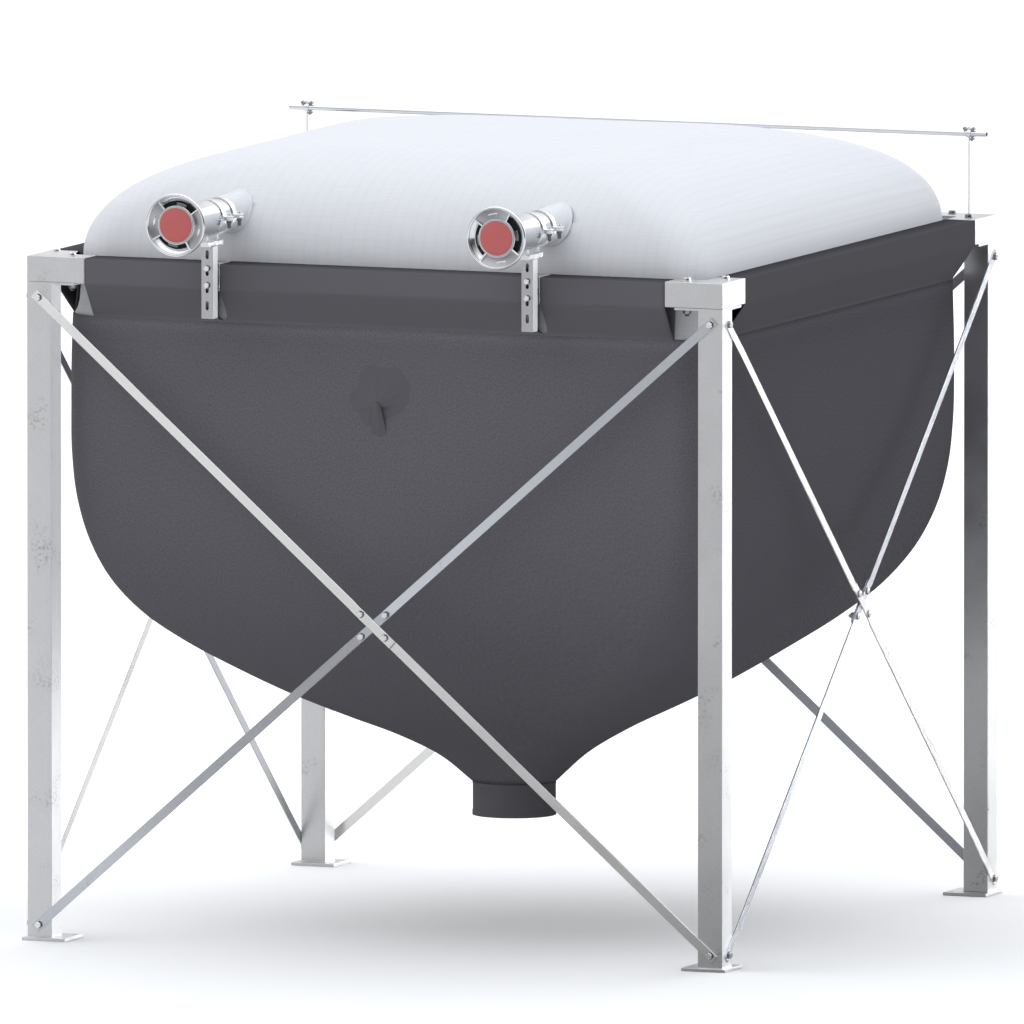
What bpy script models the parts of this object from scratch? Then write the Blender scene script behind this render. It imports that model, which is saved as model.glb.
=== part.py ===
"""Square fabric pellet silo with a white domed cover, hung in a braced steel frame.

Metres, +Z up. The ground is Z = 0 and the front of the silo looks along -Y. All pieces
are placed from the centre of the square frame. An empty carries them and sets that
centre back, so that the origin is the middle of the whole silo's footprint.
"""

import math

import bmesh
import bpy
import numpy as np

# Frame: square in plan, measured from its centre to the legs' outer faces
HALF = 1.000
GAP = 0.0003
QUARTER = math.pi / 2
CORNERS = ("front_left", "front_right", "back_right", "back_left")
SIDES = ("front", "right", "back", "left")
ROUND_SIDES = 24
SMALL_SIDES = 12

# Legs with their welded foot and head plates
LEG_SIZE = 0.070
TUBE_WALL = 0.003
FOOT_SIZE = 0.125
FOOT_THICK = 0.009
FOOT_OVERHANG = 0.012
VENT_RADIUS = 0.014
ANCHOR_RADIUS = 0.007
ANCHOR_INSET = 0.018
LEG_TOP = 1.764
HEAD_SIZE = 0.138
HEAD_END = 0.066
HEAD_THICK = 0.007

# Rim tubes and the folded corner brackets over their ends
RIM_SIZE = 0.064
RIM_BOTTOM = LEG_TOP + HEAD_THICK + GAP
RIM_TOP = RIM_BOTTOM + RIM_SIZE
SHEET = 0.004
BRACKET_ARM = 0.165
BRACKET_DEPTH = 0.080
BRACKET_HEIGHT = 0.068
BRACKET_FILLET = 0.030
FRAME_TOP = RIM_TOP + GAP + SHEET
RIM_FACE = HALF - SHEET - GAP
BOLT_ALONG = 0.116
BOLT_INSET = 0.0375

# Fabric: the hopper and the hem sleeves round the rim tubes
CLOTH = 0.002
CORNER_RADIUS = 0.111
HOPPER_TOP = 1.677
# Height of the hopper's outside and half its width there, from the outlet up
HOPPER_STATIONS = (
    (0.368, 0.113), (0.440, 0.178), (0.500, 0.262), (0.560, 0.370), (0.620, 0.474),
    (0.700, 0.594), (0.780, 0.700), (0.870, 0.794), (0.960, 0.856), (1.060, 0.897),
    (1.165, 0.921), (1.300, 0.934), (1.450, 0.936), (HOPPER_TOP, 0.932),
)
HEM_FACE = 0.998
HEM_TOP = FRAME_TOP - 0.0015
HEM_FOLD = 1.769
HEM_HALF_LENGTH = HALF - BRACKET_ARM - 0.001
OUTLET_BOTTOM = 0.277
OUTLET_RADIUS = 0.113

# Cover: a low dome whose level lines are rounded squares, on a collar that flares
# out to the hopper's top edge behind the hems
COLLAR_FOOT_HALF = 0.9285
# Height of the collar's outside above its foot and half its width there
COLLAR_FLARE = ((0.0, COLLAR_FOOT_HALF), (0.013, 0.9225), (0.035, 0.9180), (0.073, 0.9155))
COVER_BASE = HEM_TOP + GAP
COVER_HALF = 0.9125
COVER_RISE = 0.277
COVER_FULLNESS = 4.6
COVER_CORNER = 0.120
COVER_SOFTENING = 0.35
COVER_CLOTH = 0.003
COVER_ROWS = 11
HOLE_GAP = 0.001

# Filling pipes through the front of the cover, with a coupling and blind cap on each
PIPE_X = 0.460
PIPE_Z = 1.966
PIPE_RADIUS = 0.046
PIPE_WALL = 0.002
PIPE_FRONT = -1.0737
PIPE_BACK = -0.825
SLEEVE_RADIUS = 0.050
SLEEVE_FRONT = -0.957
SLEEVE_LENGTH = 0.160
COUPLING_FRONT = -1.270
COUPLING_RADIUS = 0.085
SHANK_RADIUS = 0.049
CAP_RADIUS = 0.0495
CAP_SEAT = 0.0183

# Slotted struts that carry the pipes on the front rim tube
STRUT_WIDTH = 0.033
STRUT_FRONT = -1.0465
STRUT_BACK = -1.0130
STRUT_BOTTOM = 1.695
STRUT_TOP = 1.8885
SLOT_WIDTH = 0.0085
SLOT_LENGTH = 0.024
SLOT_HEIGHTS = (1.730, 1.776, 1.822, 1.867)
STRUT_WALL = 0.0025
SPACER_RADIUS = 0.008
HOOK_FOOT = 1.765
HOOK_WIDTH = 0.030
HOOK_THICK = 0.003
HEM_SLOT_WIDTH = 0.033
HEM_SLOT_BOTTOM = 1.681

# Pipe clamps on the struts' top plates
CLAMP_PLATE_WIDTH = 0.023
CLAMP_PLATE_FRONT = -1.0635
CLAMP_PLATE_BACK = -0.9615
CLAMP_PLATE_THICK = 0.012
CLAMP_BANDS = (-1.041, -0.970)
CLAMP_WIDTH = 0.022
CLAMP_RADIUS = 0.0495
POST_RADIUS = 0.0035
EAR_LENGTH = 0.017
EAR_THICK = 0.008

# Flat-bar braces, one pair crossing on each side
BRACE_WIDTH = 0.025
BRACE_THICK = 0.004
BRACE_TOP = 1.729
BRACE_FOOT = 0.043
BRACE_INSET = 0.034
BRACE_END = 0.016
BOW_START = 0.040
BOW_FLAT = 0.070

# Bar across the back, on two slim posts that stand on bolts of the back brackets
BAR_RADIUS = 0.0075
BAR_WALL = 0.002
BAR_HALF_LENGTH = 1.014
BAR_Y = HALF - BOLT_ALONG
BAR_Z = 2.067
POST_X = HALF - BOLT_INSET
POST_FOOT_RADIUS = 0.008
POST_FOOT_HEIGHT = 0.006
BAR_POST_RADIUS = 0.0025
CLIP_HALF_LENGTH = 0.007
CLIP_WALL = 0.0025
KNOB_RADIUS = 0.004
KNOB_HEIGHT = 0.010

# Tied inspection sleeve on the front of the hopper
ROSETTE_Z = 1.490
ROSETTE_RADIUS = 0.084
ROSETTE_WAVE = 0.006
ROSETTE_LOBES = 6
ROSETTE_SIDES = 36
TAIL_TOP = 1.474
TAIL_BOTTOM = 1.374
TAIL_THICK = 0.022

FRONT_REACH = -COUPLING_FRONT
BACK_REACH = HALF + FOOT_OVERHANG


# Objects, materials and Booleans

def material(name, colour, roughness, metallic):
    """Return the named Principled material, made on first use."""
    made = bpy.data.materials.get(name)
    if made is None:
        made = bpy.data.materials.new(name)
        made.use_nodes = True
        shader = made.node_tree.nodes["Principled BSDF"]
        shader.inputs["Base Color"].default_value = (*colour, 1.0)
        shader.inputs["Roughness"].default_value = roughness
        shader.inputs["Metallic"].default_value = metallic
    return made


def galvanised():
    return material("galvanised_steel", (0.52, 0.53, 0.54), 0.45, 1.0)


def dark_fabric():
    return material("dark_fabric", (0.085, 0.081, 0.094), 0.85, 0.0)


def white_fabric():
    return material("white_fabric", (0.78, 0.80, 0.84), 0.70, 0.0)


def stainless():
    return material("stainless_steel", (0.72, 0.73, 0.75), 0.22, 1.0)


def add_object(name, bm, look, smooth_angle=None):
    """Turn a bmesh into an object with outward faces and the given material."""
    bmesh.ops.recalc_face_normals(bm, faces=bm.faces)
    mesh = bpy.data.meshes.new(name)
    bm.to_mesh(mesh)
    bm.free()
    if smooth_angle is not None:
        mesh.shade_smooth()
        mesh.set_sharp_from_angle(angle=smooth_angle)
    if look is not None:
        mesh.materials.append(look)
    made = bpy.data.objects.new(name, mesh)
    bpy.context.scene.collection.objects.link(made)
    made.parent = FRAME_CENTRE
    return made


def boolean(target, tool, operation="DIFFERENCE"):
    """Cut the target with a tool, or join the tool to it, and keep the tool as a guide."""
    tool.hide_render = True
    tool.display_type = "WIRE"
    tool.parent = target
    step = target.modifiers.new(tool.name, "BOOLEAN")
    step.operation = operation
    step.solver = "EXACT"
    step.object = tool


def turned(maker, names):
    """Make one piece per quarter turn about the frame's centre, named in that order."""
    for turn, name in enumerate(names):
        maker(name).rotation_euler.z = turn * QUARTER


# Basic solids

def add_box(bm, low, high):
    """Add an axis-aligned box between two corners."""
    made = bmesh.ops.create_cube(bm, size=1.0)
    for vertex in made["verts"]:
        for axis in range(3):
            middle = (low[axis] + high[axis]) / 2
            vertex.co[axis] = middle + vertex.co[axis] * (high[axis] - low[axis])


def box_object(name, low, high, look=None):
    bm = bmesh.new()
    add_box(bm, low, high)
    return add_object(name, bm, look)


def add_prism(bm, outline, direction):
    """Extrude a flat outline of 3-D points along a direction into a closed solid."""
    start = [bm.verts.new(point) for point in outline]
    end = [bm.verts.new(np.add(point, direction)) for point in outline]
    bm.faces.new(start)
    bm.faces.new(end)
    count = len(outline)
    for i in range(count):
        j = (i + 1) % count
        bm.faces.new((start[i], start[j], end[j], end[i]))


def ring_points(centre, radius, axis, sides, phase=0.0):
    """Points round a circle whose axis is X, Y or Z."""
    angles = phase + np.arange(sides) * 2 * math.pi / sides
    flat = {"X": (1, 2), "Y": (0, 2), "Z": (0, 1)}[axis]
    points = np.tile(np.asarray(centre, float), (sides, 1))
    points[:, flat[0]] += radius * np.cos(angles)
    points[:, flat[1]] += radius * np.sin(angles)
    return points


def cylinder_object(name, centre, radius, axis, length, sides=ROUND_SIDES, look=None):
    """A solid cylinder that starts at its centre point and runs along a positive axis."""
    bm = bmesh.new()
    direction = {"X": (length, 0, 0), "Y": (0, length, 0), "Z": (0, 0, length)}[axis]
    add_prism(bm, ring_points(centre, radius, axis, sides), direction)
    return add_object(name, bm, look)


def add_shell(bm, outside, inside, wrap, tips=None):
    """Close the space between two grids of points into one wall.

    Rows run along the first index. A wrapped wall is closed round its columns. Given
    tips, an outer and an inner point, each skin runs on from its last row to its tip.
    """
    rows, columns = outside.shape[:2]
    skins = [[[bm.verts.new(p) for p in row] for row in grid] for grid in (outside, inside)]
    steps = columns if wrap else columns - 1
    for skin in skins:
        for i in range(rows - 1):
            for j in range(steps):
                k = (j + 1) % columns
                bm.faces.new((skin[i][j], skin[i][k], skin[i + 1][k], skin[i + 1][j]))
    outer, inner = skins
    for row in (0, rows - 1) if tips is None else (0,):
        for j in range(steps):
            k = (j + 1) % columns
            bm.faces.new((outer[row][j], outer[row][k], inner[row][k], inner[row][j]))
    if tips is not None:
        ends = [bm.verts.new(tip) for tip in tips]
        for skin, end in zip(skins, ends):
            for j in range(steps):
                bm.faces.new((skin[-1][j], skin[-1][(j + 1) % columns], end))
        for column in () if wrap else (0, columns - 1):
            bm.faces.new((outer[-1][column], ends[0], ends[1], inner[-1][column]))
    if not wrap:
        for column in (0, columns - 1):
            for i in range(rows - 1):
                bm.faces.new((outer[i][column], outer[i + 1][column],
                              inner[i + 1][column], inner[i][column]))


def turned_ring(name, profile, centre, sides, look, smooth_angle):
    """Spin a closed profile of (radius, along Y) points round a line along Y."""
    bm = bmesh.new()
    loops = [[bm.verts.new(p) for p in
              ring_points((centre[0], centre[1] + along, centre[2]), radius, "Y", sides)]
             for radius, along in profile]
    for i, loop in enumerate(loops):
        following = loops[(i + 1) % len(loops)]
        for j in range(sides):
            k = (j + 1) % sides
            bm.faces.new((loop[j], loop[k], following[k], following[j]))
    return add_object(name, bm, look, smooth_angle)


# Rounded squares, the plan of every fabric piece

def quarter_outline(half, radius, arc_steps, straight_steps, trim=0.0):
    """Front quarter of a rounded square, from one corner's diagonal to the next.

    Trim takes a small angle off both ends, which leaves the seam to the next quarter.
    """
    reach = half - radius
    arc = np.linspace(trim, QUARTER / 2, arc_steps + 1) + math.pi * 1.25
    left = np.stack([-reach + radius * np.cos(arc), -reach + radius * np.sin(arc)], 1)
    right = left[::-1] * (-1, 1)
    across = np.linspace(-reach, reach, straight_steps + 1)[1:-1]
    middle = np.stack([across, np.full(across.shape, -half)], 1)
    return np.concatenate([left, middle, right])


def full_outline(half, radius, arc_steps, straight_steps):
    """Whole rounded square, counter-clockwise, as four turned front quarters."""
    quarter = quarter_outline(half, radius, arc_steps, straight_steps)[:-1]
    turns = []
    for turn in range(4):
        c, s = math.cos(turn * QUARTER), math.sin(turn * QUARTER)
        turns.append(quarter @ np.array([[c, s], [-s, c]]))
    return np.concatenate(turns)


def corner_outline(half, radius, arc_steps, straight_steps):
    """Front left corner of a rounded square, from the middle of its left side round to
    the middle of its front, less half the gap to the next corner."""
    reach = half - radius
    arc = np.linspace(0, QUARTER, arc_steps + 1) + math.pi
    corner = np.stack([-reach + radius * np.cos(arc), -reach + radius * np.sin(arc)], 1)
    along = np.linspace(-GAP / 2, -reach, straight_steps + 1)[:-1]
    left = np.stack([np.full(along.shape, -half), along], 1)
    front = left[::-1, ::-1]
    return np.concatenate([left, corner, front])


def stack(levels, outline):
    """Grid of points: the outline at each (half, radius, height) level."""
    return np.array([[(x, y, height) for x, y in outline(half, radius)]
                     for half, radius, height in levels])


def smooth_curve(stations, count):
    """Points on a smooth curve through the stations, even in the curve's parameter."""
    points = np.array(stations)
    lengths = np.linalg.norm(np.diff(points, axis=0), axis=1)
    knots = np.concatenate([[0], np.cumsum(lengths)])
    slopes = np.gradient(points, knots, axis=0)
    at = np.linspace(0, knots[-1], count)
    span = np.clip(np.searchsorted(knots, at, side="right") - 1, 0, len(knots) - 2)
    step = lengths[span][:, None]
    t = ((at - knots[span]) / lengths[span])[:, None]
    start, end = points[span], points[span + 1]
    return ((2 * t**3 - 3 * t**2 + 1) * start + (t**3 - 2 * t**2 + t) * step * slopes[span]
            + (3 * t**2 - 2 * t**3) * end + (t**3 - t**2) * step * slopes[span + 1])


def inset_levels(levels, thick, keep_ends):
    """Move each level square to the wall by its thickness, ends kept at their height."""
    half, radius, height = np.array(levels).T
    along = np.stack([np.gradient(half), np.gradient(height)], 1)
    along /= np.linalg.norm(along, axis=1)[:, None]
    out, up = np.abs(along[:, 1]), -along[:, 0] * np.sign(along[:, 1])
    new_height = height - thick * up
    for row in keep_ends:
        new_height[row] = height[row]
        out[row] = 1.0
    return np.stack([half - thick * out, radius - thick * out, new_height], 1)


# Frame

def leg(name):
    """Square tube with a foot plate and a head plate, vented at both ends."""
    low, high = -HALF, -HALF + LEG_SIZE
    middle = (low + high) / 2
    tube = box_object(name, (low, low, FOOT_THICK / 2), (high, high, LEG_TOP + HEAD_THICK / 2),
                      galvanised())
    foot_low = -HALF - FOOT_OVERHANG
    foot_high = foot_low + FOOT_SIZE
    foot = box_object(name + ".foot", (foot_low, foot_low, 0), (foot_high, foot_high, FOOT_THICK))
    plan = ((0, 0), (HEAD_SIZE, 0), (HEAD_SIZE, HEAD_END), (HEAD_END, HEAD_SIZE), (0, HEAD_SIZE))
    bm = bmesh.new()
    add_prism(bm, [(low + x, low + y, LEG_TOP) for x, y in plan], (0, 0, HEAD_THICK))
    head = add_object(name + ".head", bm, None)
    bore = box_object(name + ".bore", (low + TUBE_WALL, low + TUBE_WALL, FOOT_THICK),
                      (high - TUBE_WALL, high - TUBE_WALL, LEG_TOP))
    vent = cylinder_object(name + ".vent", (middle, middle, -0.01), VENT_RADIUS, "Z", 2.0, 12)
    anchor = cylinder_object(name + ".anchor", (foot_high - ANCHOR_INSET,) * 2 + (-0.01,),
                             ANCHOR_RADIUS, "Z", 0.03, 12)
    boolean(tube, foot, "UNION")
    boolean(tube, head, "UNION")
    for tool in (bore, vent, anchor):
        boolean(tube, tool)
    return tube


def rim_tube(name):
    """Square tube along the front, mitred and open at both ends."""
    bm = bmesh.new()
    loops = []
    for inset in (0.0, TUBE_WALL):
        near, far = -RIM_FACE + inset, -RIM_FACE + RIM_SIZE - inset
        low, high = RIM_BOTTOM + inset, RIM_TOP - inset
        section = ((near, low), (near, high), (far, high), (far, low))
        for end in (-1, 1):
            loops.append([bm.verts.new((end * (-y - GAP), y, z)) for y, z in section])
    outer_left, outer_right, inner_left, inner_right = loops
    for pair in ((outer_left, outer_right), (inner_left, inner_right),
                 (outer_left, inner_left), (outer_right, inner_right)):
        for i in range(4):
            j = (i + 1) % 4
            bm.faces.new((pair[0][i], pair[0][j], pair[1][j], pair[1][i]))
    return add_object(name, bm, galvanised())


def corner_bracket(name):
    """Folded sheet cap over a corner: an L-shaped top plate with two outer flanges."""
    low = -HALF
    arm = low + BRACKET_ARM
    inner = low + BRACKET_DEPTH
    flange_low = FRAME_TOP - BRACKET_HEIGHT
    plate_low = FRAME_TOP - SHEET
    arc = np.linspace(0, QUARTER, 5)
    centre = inner + BRACKET_FILLET
    fillet = [(centre - BRACKET_FILLET * math.sin(a), centre - BRACKET_FILLET * math.cos(a))
              for a in arc]
    plan = [(low, low), (arm, low), (arm, inner)] + fillet + [(inner, arm), (low, arm)]
    bm = bmesh.new()
    add_prism(bm, [(x, y, plate_low) for x, y in plan], (0, 0, SHEET))
    plate = add_object(name, bm, galvanised())
    inside = low + SHEET
    flanges = [(low, low), (arm, low), (arm, inside), (inside, inside), (inside, arm), (low, arm)]
    bm = bmesh.new()
    add_prism(bm, [(x, y, flange_low) for x, y in flanges], (0, 0, BRACKET_HEIGHT - SHEET / 2))
    boolean(plate, add_object(name + ".flanges", bm, None), "UNION")
    return plate


def brace(name, rising, bowed):
    """Flat bar bolted to the outer faces of two legs.

    Rising goes up to the right. The bowed bar of a pair passes outside the other one.
    """
    start = np.array([-HALF + BRACE_INSET, BRACE_FOOT if rising else BRACE_TOP])
    end = np.array([HALF - BRACE_INSET, BRACE_TOP if rising else BRACE_FOOT])
    length = np.linalg.norm(end - start)
    along = (end - start) / length
    side = np.array([-along[1], along[0]]) * BRACE_WIDTH / 2
    lift = BRACE_THICK + GAP if bowed else 0.0
    stations = ((-BRACE_END, 0), (BOW_START, 0), (length / 2 - BOW_FLAT, lift),
                (length / 2 + BOW_FLAT, lift), (length - BOW_START, 0), (length + BRACE_END, 0))
    bm = bmesh.new()
    loops = []
    for distance, out in stations:
        middle = start + along * distance
        near = -HALF - GAP - out
        corners = ((middle + side, near), (middle - side, near),
                   (middle - side, near - BRACE_THICK), (middle + side, near - BRACE_THICK))
        loops.append([bm.verts.new((p[0], y, p[1])) for p, y in corners])
    bm.faces.new(loops[0])
    bm.faces.new(loops[-1])
    for here, there in zip(loops, loops[1:]):
        for i in range(4):
            j = (i + 1) % 4
            bm.faces.new((here[i], here[j], there[j], there[i]))
    return add_object(name, bm, galvanised())


def falling_brace(name):
    return brace(name, rising=False, bowed=True)


def rising_brace(name):
    return brace(name, rising=True, bowed=False)


# Fabric

def hopper_panel(name):
    """Front quarter of the hopper, from its top edge down to the round outlet."""
    curve = smooth_curve(HOPPER_STATIONS, 18)
    levels = [(half, CORNER_RADIUS, height) for height, half in curve]
    inner_levels = inset_levels(levels, CLOTH, (0, -1))
    seam = GAP / 2 / CORNER_RADIUS

    def outline(half, radius):
        return quarter_outline(half, radius, 4, 4, seam)

    bm = bmesh.new()
    add_shell(bm, stack(levels, outline), stack(inner_levels, outline), wrap=False)
    return add_object(name, bm, dark_fabric(), math.radians(35))


def hem(name):
    """Fabric sleeve round the front rim tube, closed below the tube by a sloping skirt."""
    outside = [(HEM_FACE, HEM_FOLD), (HEM_FACE, HEM_TOP), (COVER_HALF + GAP, HEM_TOP),
               (COLLAR_FOOT_HALF + GAP, HOPPER_TOP), (HOPPER_STATIONS[-1][1] + 0.001, HOPPER_TOP)]
    rim_in = RIM_FACE + GAP
    inside = [(rim_in, HEM_FOLD + CLOTH / 2), (rim_in, HEM_TOP - CLOTH),
              (COVER_HALF + GAP + CLOTH, HEM_TOP - CLOTH),
              (COLLAR_FOOT_HALF + CLOTH, HOPPER_TOP + 2.6 * CLOTH),
              (HOPPER_STATIONS[-1][1] + 0.001, HOPPER_TOP + 2.6 * CLOTH)]
    ends = np.array([-HEM_HALF_LENGTH, HEM_HALF_LENGTH])

    def grid(section):
        return np.array([[(x, -out, z) for out, z in section] for x in ends])

    bm = bmesh.new()
    add_shell(bm, grid(outside), grid(inside), wrap=True)
    return add_object(name, bm, dark_fabric())


def front_hem_slots(piece):
    """Cut the two round-ended slots through which the strut hooks reach the rim tube.

    Below the tube a slot goes right through the sleeve, and beside the tube it leaves
    the sleeve's inner wall whole.
    """
    radius = HEM_SLOT_WIDTH / 2
    front = -HEM_FACE - 0.01
    arc = np.linspace(-math.pi, 0, 9)
    for x in (-PIPE_X, PIPE_X):
        outline = [(x + radius * math.cos(a), front, HEM_SLOT_BOTTOM + radius * (1 + math.sin(a)))
                   for a in arc]
        outline += [(x + radius, front, RIM_BOTTOM), (x - radius, front, RIM_BOTTOM)]
        bm = bmesh.new()
        add_prism(bm, outline, (0, HEM_FACE + 0.01 - COVER_HALF, 0))
        boolean(piece, add_object("hem_skirt_cutter", bm, None))
        boolean(piece, box_object("hem_face_cutter", (x - radius, front, RIM_BOTTOM - 0.001),
                                  (x + radius, -RIM_FACE + 0.01, HEM_TOP + 0.01)))
        boolean(piece, box_object("hem_top_cutter", (x - radius, -RIM_FACE, RIM_TOP - CLOTH),
                                  (x + radius, -HALF + BRACKET_DEPTH + 0.001, HEM_TOP + 0.01)))


def dome_levels(extra=0.0):
    """Levels of the dome from its base to a small flat top, grown outwards by extra."""
    steps = np.linspace(0, 0.985 * QUARTER, COVER_ROWS)
    rise = np.sin(steps)
    share = np.cos(steps) ** (2 / COVER_FULLNESS)
    half = COVER_HALF * share
    radius = COVER_CORNER + COVER_SOFTENING * (COVER_HALF - half)
    radius = np.minimum(radius, half * 0.97)
    return np.stack([half + extra, radius + extra, COVER_BASE + rise * (COVER_RISE + extra)], 1)


def cover_quarter(name):
    """Front left quarter of the cover: collar and dome, open below."""
    def outline(half, radius):
        return corner_outline(half, radius, 5, 3)

    foot = HOPPER_TOP + GAP
    flare = [(half, CORNER_RADIUS, foot + above) for above, half in COLLAR_FLARE]
    levels = np.concatenate([flare, dome_levels()])
    inner = inset_levels(levels, COVER_CLOTH, (0,))
    inner[-1, 2] = levels[-1, 2] - COVER_CLOTH
    tips = [(-GAP / 2, -GAP / 2, grid[-1, 2]) for grid in (levels, inner)]
    bm = bmesh.new()
    add_shell(bm, stack(levels, outline), stack(inner, outline), wrap=False, tips=tips)
    return add_object(name, bm, white_fabric(), math.radians(50))


def cover_holes():
    """Cut a hole for each filling pipe through the front of the cover.

    The front right quarter is turned a quarter turn, so its front is its own left side.
    """
    radius = PIPE_RADIUS + HOLE_GAP
    start, length = -1.2, 0.5
    boolean(bpy.data.objects["cover_front_left"],
            cylinder_object("cover_hole_left", (-PIPE_X, start, PIPE_Z), radius, "Y", length))
    boolean(bpy.data.objects["cover_front_right"],
            cylinder_object("cover_hole_right", (start, -PIPE_X, PIPE_Z), radius, "X", length))


def cover_cutter():
    """Solid form of the cover, a little larger, that trims what meets its outside."""
    def outline(half, radius):
        return full_outline(half, radius, 4, 4)

    grid = stack(dome_levels(2 * GAP), outline)
    bm = bmesh.new()
    rows = [[bm.verts.new(p) for p in row] for row in grid]
    count = len(rows[0])
    for below, above in zip(rows, rows[1:]):
        for j in range(count):
            k = (j + 1) % count
            bm.faces.new((below[j], below[k], above[k], above[j]))
    bm.faces.new(rows[0])
    bm.faces.new(rows[-1])
    return add_object("cover_cutter", bm, None)


def outlet_sleeve():
    """Round fabric sleeve below the hopper, open at both ends."""
    heights = (OUTLET_BOTTOM, HOPPER_STATIONS[0][0] - GAP)
    bm = bmesh.new()
    grids = [np.array([ring_points((0, 0, z), radius, "Z", 32) for z in heights])
             for radius in (OUTLET_RADIUS, OUTLET_RADIUS - CLOTH)]
    add_shell(bm, grids[0], grids[1], wrap=True)
    return add_object("outlet_sleeve", bm, dark_fabric(), math.radians(35))


def inspection_sleeve():
    """Gathered sleeve on the front wall: a lobed rosette with a tied tail hanging from it."""
    wall = -HOPPER_STATIONS[-2][1] - 0.001
    angles = np.arange(ROSETTE_SIDES) * 2 * math.pi / ROSETTE_SIDES
    rings = ((1.0, wall), (0.98, wall - 0.006), (0.62, wall - 0.013), (0.20, wall - 0.020))
    bm = bmesh.new()
    loops = []
    for share, y in rings:
        radius = ROSETTE_RADIUS * share + ROSETTE_WAVE * share * np.cos(ROSETTE_LOBES * angles)
        loops.append([bm.verts.new((r * math.cos(a), y, ROSETTE_Z + r * math.sin(a)))
                      for r, a in zip(radius, angles)])
    bm.faces.new(loops[0])
    bm.faces.new(loops[-1])
    for here, there in zip(loops, loops[1:]):
        for j in range(ROSETTE_SIDES):
            k = (j + 1) % ROSETTE_SIDES
            bm.faces.new((here[j], here[k], there[k], there[j]))
    rosette = add_object("inspection_sleeve", bm, dark_fabric(), math.radians(60))
    near = wall - 0.010
    sides = ((0.010, TAIL_TOP), (0.014, TAIL_TOP - 0.02), (0.025, TAIL_BOTTOM))
    tail = [(x, near, z) for x, z in sides] + [(-x, near, z) for x, z in sides[::-1]]
    bm = bmesh.new()
    add_prism(bm, tail, (0, -TAIL_THICK, 0))
    boolean(rosette, add_object("inspection_sleeve.tail", bm, None), "UNION")
    return rosette


# Filling pipes

def fill_pipe(name, x):
    """Straight steel pipe from the coupling into the silo."""
    length = PIPE_BACK - PIPE_FRONT
    inner = PIPE_RADIUS - PIPE_WALL
    profile = ((PIPE_RADIUS, 0), (PIPE_RADIUS, length), (inner, length), (inner, 0))
    return turned_ring(name, profile, (x, PIPE_FRONT, PIPE_Z), ROUND_SIDES, stainless(),
                       math.radians(40))


def pipe_sleeve(name, x):
    """White fabric tube from the rear clamp to the cover, round the pipe."""
    inner = PIPE_RADIUS + GAP
    profile = ((SLEEVE_RADIUS, 0), (SLEEVE_RADIUS, SLEEVE_LENGTH), (inner, SLEEVE_LENGTH),
               (inner, 0))
    made = turned_ring(name, profile, (x, SLEEVE_FRONT, PIPE_Z), ROUND_SIDES, white_fabric(),
                       math.radians(40))
    boolean(made, cover_cutter())
    return made


def coupling(name, x):
    """Hose coupling: a shank round the pipe's end and a flared flange with a dished front."""
    length = PIPE_FRONT - GAP - COUPLING_FRONT
    rim = COUPLING_RADIUS
    shank = SHANK_RADIUS
    seat = CAP_RADIUS + GAP
    bore = PIPE_RADIUS - PIPE_WALL
    profile = (
        (bore, length), (shank, length), (shank, 0.055), (shank + 0.004, 0.040),
        (0.070, 0.020), (rim - 0.004, 0.013), (rim, 0.008), (rim - 0.002, 0.002),
        (rim - 0.008, 0.0), (rim - 0.014, 0.004), (rim - 0.019, 0.013),
        (seat, 0.015), (seat, CAP_SEAT), (bore, CAP_SEAT),
    )
    return turned_ring(name, profile, (x, COUPLING_FRONT, PIPE_Z), ROUND_SIDES, stainless(),
                       math.radians(40))


def fill_cap(name, x):
    """Blind cap: a red-faced disc with a plug that closes the coupling's bore."""
    edge = CAP_RADIUS
    plug = PIPE_RADIUS - PIPE_WALL - GAP
    seat = CAP_SEAT - GAP
    profile = ((edge - 0.003, 0.004), (edge, 0.007), (edge, seat), (plug, seat),
               (plug, seat + 0.012))
    bm = bmesh.new()
    loops = [[bm.verts.new(p) for p in
              ring_points((x, COUPLING_FRONT + along, PIPE_Z), radius, "Y", ROUND_SIDES)]
             for radius, along in profile]
    for here, there in zip(loops, loops[1:]):
        for j in range(ROUND_SIDES):
            k = (j + 1) % ROUND_SIDES
            bm.faces.new((here[j], here[k], there[k], there[j]))
    bm.faces.new(loops[0])
    bm.faces.new(loops[-1])
    return add_object(name, bm, material("red_plastic", (0.52, 0.105, 0.105), 0.55, 0.0),
                      math.radians(40))


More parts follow.
